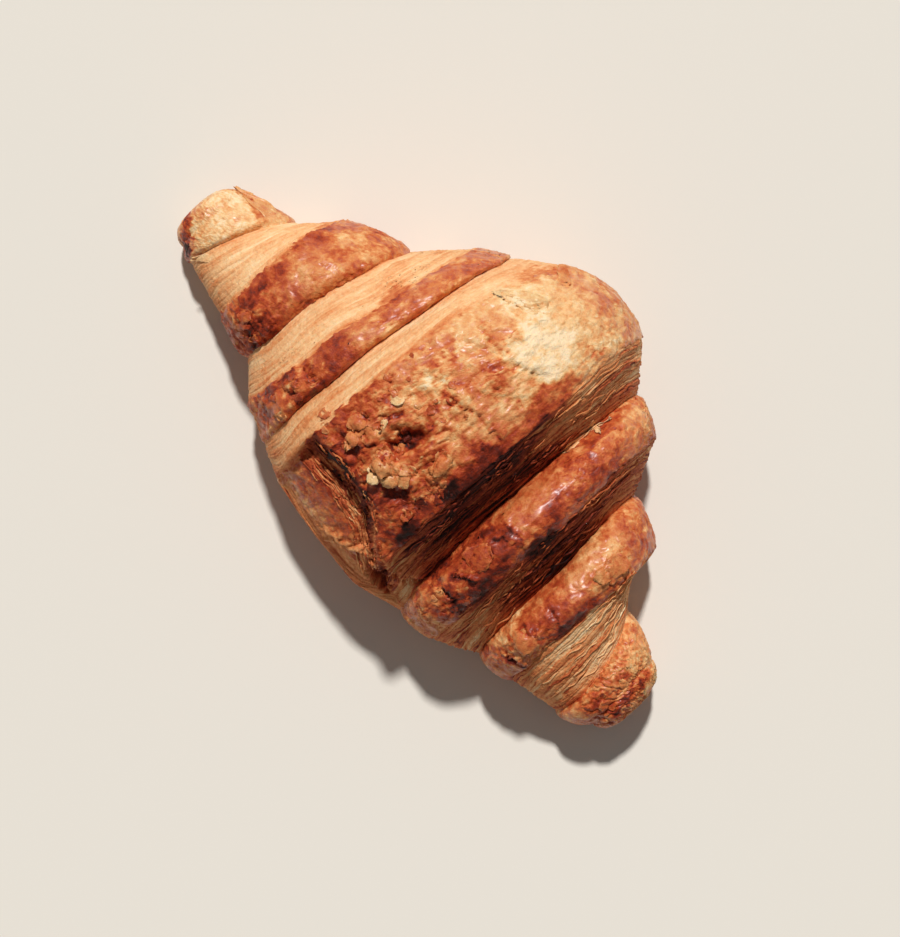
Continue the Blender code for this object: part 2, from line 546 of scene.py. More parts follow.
@dataclass
class Turn:
    """One turn of the dough, as a closed skin tucked under its neighbours at both ends.

    Attributes:
        name: The piece's name.
        finish: What dresses the piece.
        origin: Where the layout's origin lies in the part's frame, in millimetres.
        seed: The seed of its grain.
        browning: The crust's browning, as pairs of y and level.
        spots: What is baked otherwise, and where painted shade or painted highlight lies.
        lumps: What stands out or sinks in.
        folds: Cracks and steps.
        fans: Wrinkles that spread from a point.
        ruffles: Where the crust is crumpled and flaky, with how much as their height.
        columns: Points round each ring.
        flakiness: The height of the crust's flakes, in millimetres.
        wrinkled: How much of the crust's small wrinkles it has.
        look: How its cut face shows.
    """

    name: str
    finish: "Pastry"
    origin: np.ndarray
    seed: int
    browning: tuple[tuple[float, float], ...]
    spots: tuple[Spot, ...] = ()
    lumps: tuple[Lump, ...] = ()
    folds: tuple[Fold, ...] = ()
    fans: tuple[Fan, ...] = ()
    ruffles: tuple[Lump, ...] = ()
    columns: int = 330
    crust_pitch: float = 0.30
    face_pitch: float = 0.15
    flakiness: float = 0.34
    wrinkled: float = 1.0
    look: FaceLook | None = None
    look_right: FaceLook | None = None
    skin: np.ndarray = field(init=False, repr=False)

    CROWN_SHARE = 0.78
    CROWN_REACH = 0.30

    def course(self) -> list[Stretch]:
        """The turn's stretches from left to right."""
        raise NotImplementedError

    def reshape(self, points: np.ndarray, level: np.ndarray) -> np.ndarray:
        """Change the plain form. A turn that is a plain roll stays as it is."""
        return points

    def tears(self, points: np.ndarray, warped: np.ndarray) -> list[Cut]:
        """Where layers show besides the faces. On a plain turn they don't."""
        return []

    def _angles(self) -> np.ndarray:
        """The angles round a ring from the middle of the underside, closest over the crown."""
        share = np.arange(self.columns) / self.columns
        side = (1 - self.CROWN_SHARE) / 2
        low, high = -self.CROWN_REACH, math.pi + self.CROWN_REACH
        return np.interp(share, [0, side, 1 - side, 1], [-math.pi / 2, low, high, 1.5 * math.pi])

    def _section(self, rings: np.ndarray) -> tuple[np.ndarray, np.ndarray]:
        """Draw the sections.

        Args:
            rings: A ring on each row.

        Returns:
            The points, rows by columns, and the level at which each row is widest.
        """
        angles = self._angles()[None, :]
        along, lean, bow, low, high, top, foot = rings.T[:, :, None]
        level = foot + (top - foot) * WIDEST_AT
        power = np.where(np.sin(angles) > 0, DOME_POWER, UNDERSIDE_POWER)
        across = np.sign(np.cos(angles)) * np.abs(np.cos(angles)) ** (2 / power)
        up = np.sign(np.sin(angles)) * np.abs(np.sin(angles)) ** (2 / power)
        depth = level - foot + (top - foot) * PRESSED_FLAT
        y = (low + high) / 2 + across * (high - low) / 2
        z = np.maximum(level + up * np.where(up > 0, top - level, depth), foot)
        return np.stack([along + lean * y + bow * y * y, y, z], axis=-1), level

    @staticmethod
    def _normals(points: np.ndarray) -> np.ndarray:
        """The outward directions of a grid of points that closes on itself across its columns."""
        down = np.gradient(points, axis=0)
        round_it = np.roll(points, -1, axis=1) - np.roll(points, 1, axis=1)
        out = np.cross(round_it, down)
        return out / np.maximum(np.linalg.norm(out, axis=-1, keepdims=True), 1e-9)

    def _layers(
        self, look: FaceLook, depth: np.ndarray, s: np.ndarray, y: np.ndarray
    ) -> tuple[np.ndarray, np.ndarray]:
        """Lay the dough's layers on a face.

        Args:
            look: How the face looks.
            depth: How far below the edge each point is.
            s: How far round the roll each point is, along the layers.
            y: Where each point is across the roll.

        Returns:
            Height and browning, with painted shade in the gaps between the layers, for each point.
        """
        grain = Grain(self.seed + 50)
        flat = np.stack([depth, s, np.full_like(s, self.seed)], axis=-1)
        drift = 1.7 * grain.waves(flat, (6, 22, 1)) + 0.75 * grain.waves(flat + 9, (2.6, 8, 1))
        drift += 0.22 * grain.waves(flat + 19, (1.2, 2.8, 1)) * look.rough
        drift += 0.5 * (look.rough - 1) * grain.waves(flat + 25, (2.0, 4.5, 1))
        height = np.zeros_like(s)
        bake = np.interp(y, *zip(*look.bake)) + 0.08 * grain.waves(flat + 71, (3.5, 9, 1))
        bake = bake + 0.05 * grain.waves(flat + 77, (0.8, 2.2, 1))
        bake = bake + 0.05 * grain.waves(flat + 79, (2.0, 18, 1))
        for number, (size, share) in enumerate(((2.3, 0.8), (1.0, 1.0), (0.48, 0.42))):
            pitch = look.pitch * size
            strays = grain.waves(flat + 31 * number, (pitch * 2, 9 * size, 1))
            q = depth / pitch + drift / (0.55 + pitch) + 0.3 * strays
            k = np.floor(q)
            f = q - k
            at = np.stack([k * 3.7 + 5 * number, s, k], axis=-1)
            full = 0.5 + 0.65 * grain.waves(at, (1, (7 + 5 * size) / (0.5 + 0.5 * look.rough), 7))
            ledge = grain.waves(at + 40, (1, 16, 7))
            ridge = 1 - np.abs(2 * f - 1) ** 2.4
            height += look.height * share * ((ridge - 0.6) * full + 0.9 * ledge)
            # The lines between the layers are darkened by gaps: painted shade in the gaps.
            gap = (1 - rise(0.02, 0.55, ridge)) * rise(0.2, 0.75, full) * share
            bake = bake + look.streaks * ledge * share + look.gaps * gap
        return height, bake

    def _crust(
        self, points: np.ndarray, warped: np.ndarray, ruff: np.ndarray
    ) -> tuple[np.ndarray, np.ndarray, np.ndarray]:
        """Raise the crust's blisters, wrinkles and flakes.

        Args:
            points: The plain form.
            warped: The same, drawn out of true, for ragged outlines.
            ruff: How crumpled and flaky the crust is at each point.

        Returns:
            Height, change of browning and gloss, for each point. The change of browning holds painted shade
            in the cracks and hollows and painted highlight on the ridges, thin rims and raised chip edges.
        """
        grain = Grain(self.seed)
        swell = grain.layered(points, 12, 2)
        bends = grain.waves(points + 3, 5.0)
        crumple = (1 - np.abs(grain.waves(warped, (5.4, 4.6, 4.6)))) ** 3
        crease = (1 - np.abs(grain.waves(warped + 9, (2.2, 2.9, 2.9)))) ** 3
        wrinkle = 1 - np.abs(grain.waves(warped + 15, (1.2, 2.2, 2.2)))
        crinkle = 1 - np.abs(grain.waves(warped + 5, (0.9, 0.75, 0.75)))
        edge, share, lean = grain.plates(warped * np.array([1, 0.8, 0.9]), 5.0)
        chip, chip_share, chip_lean = grain.plates(warped * np.array([0.9, 1, 1]) + 20, 2.2)
        sheet_edge, sheet, sheet_lean = grain.plates(warped + 70, 8.5)
        raised = rise(0.50, 0.54, sheet) * rise(0.0, 0.04, sheet_edge)
        height = (0.18 + 0.24 * ruff) * (crumple - 0.3) + (0.16 + 0.20 * ruff) * (crease - 0.3)
        height += (0.08 + 0.12 * ruff) * (wrinkle - 0.6) + (0.10 + 0.04 * ruff) * (crinkle - 0.6)
        height = height * self.wrinkled + 0.30 * swell + 0.14 * bends
        height += self.flakiness * (0.25 + ruff) * (0.5 * (share - 0.5) + 0.7 * lean)
        height += self.flakiness * ruff * (0.5 * (chip_share - 0.5) + 0.8 * chip_lean)
        height += self.flakiness * (0.3 + ruff) * raised * (0.5 + 0.8 * sheet_lean)
        cracked = (1 - rise(0.0, 0.10, edge)) * rise(-0.2, 0.5, bends)
        height -= (0.08 + 0.16 * ruff) * cracked
        tone = 0.15 * grain.layered(points + 60, 8, 4, 0.6) + 0.10 * grain.layered(points + 7, 2.2, 3, 0.7)
        tone += (0.05 + 0.12 * ruff) * (share - 0.5) + 0.22 * ruff * (chip_share - 0.5)
        # Painted shade darkens the cracks and the hollows between crumples, creases and wrinkles; painted
        # highlight lightens their ridges.
        tone += 0.10 * cracked - 0.10 * (crumple - 0.3) - 0.12 * (crease - 0.3) - 0.07 * (wrinkle - 0.6)
        # Painted light: the thin rims of raised sheets are lighter, as light shows through them, and chip
        # edges are lighter on their raised side and darker on their sunk side.
        rims = (1 - rise(0.0, 0.10, np.abs(sheet_edge - 0.05))) * raised
        chip_edge_light = 0.20 * ruff * chip_lean * (chip < 0.2)
        tone -= 0.12 * rims * (0.3 + ruff) + chip_edge_light + 0.08 * raised * (sheet - 0.5)
        peeled = rise(0.12, 0.17, grain.layered(warped + 120, 4.5, 4, 0.7))
        scaled = rise(0.20, 0.27, grain.layered(warped + 140, 1.7, 3, 0.7))
        scorched = rise(0.18, 0.30, grain.layered(warped + 160, 2.6, 4, 0.7))
        tone += 0.08 * scorched - 0.11 * peeled - (0.05 + 0.07 * ruff) * scaled
        height -= (0.12 * peeled + (0.05 + 0.06 * ruff) * scaled) * self.wrinkled
        gloss = 0.72 + 0.34 * grain.layered(points + 80, 5, 3) - 0.3 * ruff - 0.25 * raised - 0.3 * peeled
        return height, tone, gloss + 0.25 * grain.waves(warped + 90, 1.2)

    def _marks(self, spots: np.ndarray, upward: np.ndarray, height: np.ndarray, coat: Coat) -> None:
        """Put the turn's own lumps, folds and spots on it, in place."""
        for lump in self.lumps:
            height += lump.height * oval(spots, lump) * upward
        for crease in self.folds:
            away, _, ends = beside(spots, crease.points)
            line = (1 - rise(0, crease.width, np.abs(away))) * ends * upward
            height -= crease.depth * line
            fades = 1 - rise(crease.reach * 0.3, crease.reach, away)
            raised = rise(-0.12, 0.12, away) * fades * ends * upward
            height += crease.step * raised
            # The crack's line is painted darker: painted shade in its groove.
            coat.bake = toward(coat.bake, coat.bake + 0.22, line)
        for fan in self.fans:
            dx, dy = spots[..., 0] - fan.x, spots[..., 1] - fan.y
            reach = np.hypot(dx, dy)
            drift = fan.drift * Grain(self.seed + 4).layered(spots, 5.0, 2)
            ridge = np.abs(np.sin(np.arctan2(dy, dx) * fan.wrinkles / 2 + drift))
            begins, ends = rise(fan.near * 0.5, fan.near, reach), 1 - rise(fan.far * 0.85, fan.far, reach)
            weight = begins * ends * upward
            height += fan.height * (ridge - 0.6) * weight
            # Painted highlight on the wrinkles' ridges and painted shade between them.
            coat.bake = coat.bake - 0.12 * (ridge - 0.64) * weight
        patchy = 0.55 + 0.45 * rise(-0.5, 0.2, Grain(self.seed + 3).layered(spots, 3.0, 3))
        for spot in self.spots:
            weight = oval(spots, spot) * upward * spot.strength * patchy
            coat.bake = toward(coat.bake, spot.bake.value + (coat.bake - coat.bake.mean()) * 0.35, weight)
            if spot.gloss is not None:
                coat.gloss = toward(coat.gloss, spot.gloss, weight)
            if spot.layers is not None:
                coat.layers = toward(coat.layers, spot.layers, weight)

    def form(self) -> Coat:
        """Work out the skin and what is painted on it."""
        rows, shown, is_crust = [], [], []
        for stretch in self.course():
            laid = stretch.rows()
            rows.append(laid)
            shown += [stretch.shown] * len(laid)
            is_crust += [stretch.crust] * len(laid)
        rings = np.concatenate(rows)
        points, level = self._section(rings)
        points = self.reshape(points, level)
        sway = Grain(7)
        drawn = np.stack([sway.waves(points + 11 * i, 17) for i in range(3)], axis=-1)
        points = points + drawn * np.array([0.75, 0.6, 0.5]) * smooth(points[..., 2:] / 8)

        crown = np.argmin(np.abs(self._angles() - math.pi / 2))
        steps = np.linalg.norm(np.diff(points, axis=1, prepend=points[:, :1]), axis=-1)
        s = np.cumsum(steps, axis=1)
        s = s - s[:, crown : crown + 1]
        w = np.concatenate([[0], np.cumsum(np.linalg.norm(np.diff(points[:, crown], axis=0), axis=-1))])
        crusted = np.flatnonzero(is_crust)
        left = w[crusted[0]] if self.look else -1e3
        right = w[crusted[-1]] if self.look_right else 1e3
        inside = np.minimum(w - left, right - w)[:, None] + np.zeros_like(s)
        nearest = np.min(np.abs(w[:, None] - w[np.flatnonzero(shown)][None, :]), axis=1)
        seen = (1 - rise(0.0, 1.2, nearest))[:, None]

        grain = Grain(self.seed + 9)
        pull = np.stack([grain.layered(points + 23 * i, 5.0, 3) for i in range(3)], axis=-1)
        warped = points + 1.5 * pull
        jitter = np.stack([grain.waves(points + 9 * i, 1.4) for i in range(3)], axis=-1)
        spots = points + 1.9 * pull + 0.9 * jitter
        out = self._normals(points)
        upward = rise(-0.25, 0.1, out[..., 2]) * seen
        ruff = np.clip(0.12 + sum((lump.height * oval(spots, lump) for lump in self.ruffles), 0.0), 0, 1.2)
        ruff = ruff * rise(-0.9, 0.5, grain.layered(points + 41, 6.0, 2))
        # shade is the crust's change of browning, its painted shade and highlight included.
        height, shade, gloss = self._crust(points, warped, ruff)
        browning = np.interp(points[..., 1], *zip(*self.browning)) + shade
        ragged = inside + 0.9 * grain.waves(points, 7) + 0.8 * grain.waves(points, 2.4)
        ragged += 0.45 * grain.waves(points, 0.9)
        on_face = 1 - rise(-0.10, 0.25, ragged)
        browning += 0.07 * np.exp(-((ragged / 1.2) ** 2))
        coat = Coat(browning, on_face, gloss)
        height *= 1 - on_face
        height += PROUD * (1 - on_face) - PROUD
        halfway = w[crusted].mean()
        sides = ((self.look, w < halfway), (self.look_right, w >= halfway))
        cuts = [Cut(look, on_face * side[:, None], -inside, s) for look, side in sides if look]
        for cut in cuts + self.tears(points, warped):
            lift, tone = self._layers(cut.look, cut.depth, cut.along, points[..., 1])
            height = toward(height, lift, cut.mask) if cut not in cuts else height + lift * cut.mask
            patchy = rise(-0.6, 0.6, grain.waves(points + 5, 3))
            singed = 0.16 * np.exp(-np.maximum(cut.depth, 0) / 0.9) * patchy
            coat.bake = toward(coat.bake, tone + singed, cut.mask)
            coat.gloss = toward(coat.gloss, 0.15, cut.mask)
            coat.layers = np.maximum(coat.layers, cut.mask)
        self._marks(spots, upward, height, coat)
        tray = 1 - rise(0.4, 3.0, points[..., 2])
        coat.bake = toward(coat.bake, 0.62 + 0.5 * shade, tray)
        coat.gloss *= 1 - 0.8 * tray
        height *= seen * (1 - 0.7 * tray)
        points = points + out * height[..., None]
        points[..., 2] = np.maximum(points[..., 2], 0.0)
        self.skin = points
        return coat

    def _sphere(self, rows: int) -> tuple[bpy.types.Object, np.ndarray]:
        """Add a globe with a circle of latitude for each row.

        Args:
            rows: How many circles of latitude it has.

        Returns:
            The globe, and the order of its points from pole to pole, circle by circle.
        """
        bpy.ops.object.select_all(action="DESELECT")
        bpy.ops.mesh.primitive_uv_sphere_add(segments=self.columns, ring_count=rows + 1, radius=1.0)
        piece = bpy.context.active_object
        piece.name = self.name
        piece.data.name = self.name
        places = np.empty(len(piece.data.vertices) * 3)
        piece.data.vertices.foreach_get("co", places)
        places = places.reshape(-1, 3)
        circle = np.round(np.arccos(np.clip(-places[:, 2], -1, 1)) * (rows + 1) / math.pi).astype(int)
        turn = np.arctan2(places[:, 1], places[:, 0]) % (2 * math.pi)
        column = np.round(turn * self.columns / (2 * math.pi)).astype(int) % self.columns
        return piece, np.lexsort((column, circle))

    @staticmethod
    def _flat(values: np.ndarray) -> np.ndarray:
        """Run a grid out into a list, with a pole's value at each end."""
        rings = values.reshape(-1, *values.shape[2:])
        return np.concatenate([values[:1].mean(axis=1), rings, values[-1:].mean(axis=1)])

    def build(self, coat: Coat) -> bpy.types.Object:
        """Make the piece.

        Args:
            coat: What is painted on it.

        Returns:
            The piece, dressed and riding on the part.
        """
        piece, order = self._sphere(len(self.skin))
        places = np.empty((len(order), 3))
        places[order] = (self._flat(drawn_in(self.skin)) + self.origin) * METRES
        piece.data.vertices.foreach_set("co", places.ravel())
        for name in ("bake", "layers", "gloss"):
            values = np.empty(len(order))
            values[order] = self._flat(getattr(coat, name))
            attribute = piece.data.attributes.new(name, "FLOAT", "POINT")
            attribute.data.foreach_set("value", values)
        piece.data.uv_layers[0].name = "OFBake"
        piece.data.shade_smooth()
        piece.data.update()
        return settle(piece, self.finish)


def settle(piece: bpy.types.Object, finish: "Pastry") -> bpy.types.Object:
    """Dress a piece and put it on the part.

    Args:
        piece: The finished mesh.
        finish: What it is dressed with.

    Returns:
        The same piece.
    """
    finish.dress(piece)
    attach(piece, "root")
    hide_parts(NODE)
    log.info("%s: %d faces", piece.name, len(piece.data.polygons))
    return piece


class Top:
    """The height of the whole croissant from above, read from its turns."""

    CELL = 0.35

    def __init__(self, skins: Sequence[np.ndarray], coats: Sequence[Coat]) -> None:
        """Lay the highest points of the skins on a grid and fill the gaps between them."""
        points = np.concatenate([skin.reshape(-1, 3) for skin in skins])
        bakes = np.concatenate([coat.bake.ravel() for coat in coats])
        self.low = points[:, :2].min(axis=0) - 2
        size = np.ceil((points[:, :2].max(axis=0) + 2 - self.low) / self.CELL).astype(int) + 1
        self.heights = np.full(size, -1.0)
        cells = np.round((points[:, :2] - self.low) / self.CELL).astype(int)
        np.maximum.at(self.heights, (cells[:, 0], cells[:, 1]), points[:, 2])
        highest = points[:, 2] >= self.heights[cells[:, 0], cells[:, 1]] - 0.3
        self.bakes = np.full(size, 0.5)
        self.bakes[cells[highest, 0], cells[highest, 1]] = bakes[highest]
        for _ in range(2):
            around = [np.roll(self.heights, move, axis) for move in (-1, 1) for axis in (0, 1)]
            self.heights = np.where(self.heights < 0, np.max(around, axis=0), self.heights)
        self.heights = np.maximum(self.heights, 0.0)
        eased = self.heights
        for _ in range(3):
            around = [np.roll(eased, move, axis) for move in (-1, 1) for axis in (0, 1)]
            eased = (eased * 2 + sum(around)) / 6
        slopes = np.gradient(eased, self.CELL)
        out = np.stack([-slopes[0], -slopes[1], np.ones_like(eased)], axis=-1)
        self.out = out / np.linalg.norm(out, axis=-1, keepdims=True)

    def at(self, x: np.ndarray, y: np.ndarray) -> tuple[np.ndarray, np.ndarray]:
        """Look places up.

        Args:
            x: How far along the roll.
            y: How far across it.

        Returns:
            The point of the top over each place, and its outward direction.
        """
        spots = (np.stack([x, y], axis=-1) - self.low) / self.CELL
        spots = np.clip(spots, 0, np.array(self.heights.shape) - 1.001)
        cell = spots.astype(int)
        part = spots - cell
        i, j = cell[..., 0], cell[..., 1]
        a, b = part[..., 0], part[..., 1]
        z = (self.heights[i, j] * (1 - a) + self.heights[i + 1, j] * a) * (1 - b)
        z += (self.heights[i, j + 1] * (1 - a) + self.heights[i + 1, j + 1] * a) * b
        return np.stack([x, y, z], axis=-1), self.out[i, j]

    def baked(self, x: np.ndarray, y: np.ndarray) -> float:
        """The middle browning of the top over some places, its painted shade and highlight included."""
        cells = np.round((np.stack([x, y], axis=-1) - self.low) / self.CELL).astype(int)
        cells = np.clip(cells, 0, np.array(self.bakes.shape) - 1)
        return float(np.median(self.bakes[cells[..., 0], cells[..., 1]]))


@dataclass(frozen=True)
class Flake:
    """A thin sheet of crust, held down along its left end and lifted towards its right one.

    Attributes:
        x: The middle of it, along the roll.
        y: The middle of it, across the roll.
        long: Its length from the held end to the free one.
        wide: Its width.
        turned: The direction of its free end, in degrees from +x towards +y.
        lift: How high the free end stands.
        bake: Its browning.
        curl: How far the free end bends up or, when negative, over.
        layers: How far it is bare dough and not crust.
        pointed: How much narrower its free end is.
    """

    x: float
    y: float
    long: float
    wide: float
    turned: float
    lift: float
    bake: float
    curl: float = 0.3
    layers: float = 0.0
    pointed: float = 0.3


@dataclass
class Sheets:
    """Thin sheets and strands that stand off the croissant, joined into one piece.

    Attributes:
        name: The piece's name.
        finish: What dresses it.
        origin: Where the layout's origin lies in the part's frame, in millimetres.
        top: What they stand on.
        seed: What sets their noise apart from other pieces'.
        thick: Their thickness.
        grid: How many faces each has, along and across.
        places: The points of each, in millimetres.
        paints: The finish's values at the points of each.
    """

    name: str
    finish: "Pastry"
    origin: np.ndarray
    top: Top
    seed: int
    thick: float = 0.16
    grid: tuple[int, int] = (12, 9)
    places: list[np.ndarray] = field(default_factory=list)
    paints: list[tuple[np.ndarray, ...]] = field(default_factory=list)

    def _square(self) -> tuple[np.ndarray, np.ndarray]:
        """The grid's shares from -1 to 1, along and across."""
        along, across = self.grid
        u, v = np.meshgrid(np.linspace(-1, 1, along + 1), np.linspace(-1, 1, across + 1))
        return u.ravel(), v.ravel()

    def lay(self, flake: Flake) -> None:
        """Lay a flake on the top, following its slope."""
        grain = Grain(self.seed + len(self.places))
        u, v = self._square()
        flat = np.stack([u * flake.long / 2, v * flake.wide / 2, np.full_like(u, 3.0)], axis=-1)
        jag = 0.16 * np.maximum(np.abs(u), np.abs(v)) ** 3
        du = u + jag * 2.2 * grain.layered(flat, 1.6, 3, 0.7) * rise(-0.6, 0.3, u)
        narrowing = 1 - flake.pointed * smooth((u + 1) / 2) ** 1.5
        dv = v * narrowing + jag * 1.6 * grain.layered(flat + 9, 1.8, 3, 0.7)
        round_off = 1 - 0.18 * (np.abs(u) * np.abs(v)) ** 2
        along, across = du * flake.long / 2 * round_off, dv * flake.wide / 2 * round_off
        turn = math.radians(flake.turned)
        x = flake.x + along * math.cos(turn) - across * math.sin(turn)
        y = flake.y + along * math.sin(turn) + across * math.cos(turn)
        points, out = self.top.at(x, y)
        middle, _ = self.top.at(np.array([flake.x]), np.array([flake.y]))
        points[:, 2] = np.maximum(points[:, 2], middle[0, 2] - 1.4)
        share = (du + 1) / 2
        sides = np.maximum(0, 1 - np.abs(dv)) ** 0.5
        stand = flake.lift * (smooth(share) * 0.75 + 0.25 * share * sides) + flake.curl * share**3
        stand = stand + 0.16 * grain.layered(flat + 30, 2.4, 2) * smooth(share * 2)
        stand = stand - 0.25 * (1 - smooth(share * 3))
        self.places.append(points + out * stand[:, None])
        rim = rise(0.75, 1.0, np.maximum(share, np.abs(dv)))
        bake = flake.bake + 0.14 * grain.layered(flat + 50, 2.5, 3) - 0.08 * rim
        self.paints.append((bake, np.full_like(u, flake.layers), np.full_like(u, 0.5 * (1 - flake.layers))))

    def strand(self, x: np.ndarray, y: np.ndarray, wide: float, lift: float, bake: float) -> None:
        """Lay a strand of dough along a line of places.

        Args:
            x: The line, along the roll, with one place for each column of the grid.
            y: The same, across the roll.
            wide: Its width.
            lift: How far its middle stands off.
            bake: Its browning.
        """
        grain = Grain(self.seed + len(self.places))
        u, v = self._square()
        line, out = self.top.at(x, y)
        eased = line.copy()
        for _ in range(2):
            eased[1:-1] = (eased[:-2] + eased[1:-1] * 2 + eased[2:]) / 4
        run = np.gradient(eased, axis=0)
        side = np.cross(run, out)
        side /= np.maximum(np.linalg.norm(side, axis=-1, keepdims=True), 1e-9)
        column = np.round((u + 1) / 2 * (len(x) - 1)).astype(int)
        flat = np.stack([eased[column, 0], eased[column, 1] * 0.4, v], axis=-1)
        slim = (1 - np.abs(u) ** 5) * (0.75 + 0.35 * grain.waves(flat, 1.8))
        stand = lift * (1 - u**2) + 0.12 * grain.waves(flat + 8, 1.2) + 0.10 * (1 - v**2) - 0.06
        shift = side[column] * (v * slim * wide / 2)[:, None] + out[column] * stand[:, None]
        self.places.append(eased[column] + shift)
        tone = bake + 0.08 * grain.waves(flat + 20, 2.0) + 0.06 * np.abs(v)
        self.paints.append((tone, np.ones_like(u), np.full_like(u, 0.1)))

    def build(self) -> bpy.types.Object:
        """Join the sheets, thicken them and dress them.

        Returns:
            The piece.
        """
        bpy.ops.object.select_all(action="DESELECT")
        along, across = self.grid
        bpy.ops.mesh.primitive_grid_add(x_subdivisions=along, y_subdivisions=across, size=2.0)
        square = bpy.context.active_object
        count = len(self.places)
        stack = square.modifiers.new("stack", "ARRAY")
        stack.count = count
        stack.use_relative_offset = False
        stack.use_constant_offset = True
        stack.constant_offset_displace = (0.0, 0.0, 1.0)
        bpy.ops.object.modifier_apply(modifier=stack.name)
        square.name = square.data.name = self.name
        places = drawn_in(np.concatenate(self.places)) + self.origin
        square.data.vertices.foreach_set("co", (places * METRES).ravel())
        for name, values in zip(("bake", "layers", "gloss"), zip(*self.paints)):
            attribute = square.data.attributes.new(name, "FLOAT", "POINT")
            attribute.data.foreach_set("value", np.concatenate(values))
        square.data.update()
        skin = square.modifiers.new("thickness", "SOLIDIFY")
        skin.thickness = self.thick * METRES
        skin.offset = 0.0
        bpy.ops.object.modifier_apply(modifier=skin.name)
        square.data.shade_smooth()
        return settle(square, self.finish)


R = Rings()


@dataclass
class LeftTurn(Turn):
    """A turn left of the middle: its face looks left, and its crust runs under the next face."""

    crease: Ring = R.left_crease_3
    edge: Ring = R.left_edge_2
    crown: Ring = R.left_crust_2
    end: Ring = R.left_crease_2

    def course(self) -> list[Stretch]:
        """Plug, face, crust and plug."""
        inner, outer = behind(self.crease, self.edge), beneath(self.end, 4.5, 1.6)
        return [
            plug(inner).turned(),
            tuck(self.crease.row(), inner).turned(),
            face(self.crease, self.edge, self.face_pitch),
            crust(self.edge, self.crown, self.end, (EDGE_ROLL, CREASE_ROLL), self.crust_pitch),
            tuck(self.end.row(), outer),
            plug(outer),
        ]


@dataclass
class RightTurn(Turn):
    """A turn right of the middle: its crust comes from under the last face, and its own face looks right."""

    start: Ring = R.right_crease_1
    crown: Ring = R.right_crust_1
    edge: Ring = R.right_edge_1
    crease: Ring = R.right_crease_2

    def course(self) -> list[Stretch]:
        """Plug, crust, face and plug."""
        inner, outer = beneath(self.start, -4.5, 1.6), behind(self.crease, self.edge)
        return [
            plug(inner).turned(),
            tuck(self.start.row(), inner).turned(),
            crust(self.start, self.crown, self.edge, (CREASE_ROLL, EDGE_ROLL), self.crust_pitch),
            face(self.crease, self.edge, self.face_pitch).turned(),
            tuck(self.crease.row(), outer),
            plug(outer),
        ]


@dataclass
class Tip(Turn):
    """One end of the roll.

    Attributes:
        end: Where it ends, along the roll.
        power: How blunt it is.
        tip: The first full ring.
        neck: The ring half way to the crease.
        crease: The ring at the crease.
        left: Whether it is the left one.
    """

    end: float = LEFT_END
    power: float = 2.6
    tip: Ring = R.left_tip
    neck: Ring = R.left_neck
    crease: Ring = R.left_crease_3
    left: bool = True

    def course(self) -> list[Stretch]:
        """Cap, crust and plug, or the other way round."""
        inner = beneath(self.crease, 3.5 if self.left else -3.5, 1.2)
        runs = [
            cap(self.end, self.tip, self.power, self.crust_pitch),
            crust(self.tip, self.neck, self.crease, (0.0, TIP_ROLL), self.crust_pitch),
            tuck(self.crease.row(), inner),
            plug(inner),
        ]
        return runs if self.left else [run.turned() for run in reversed(runs)]


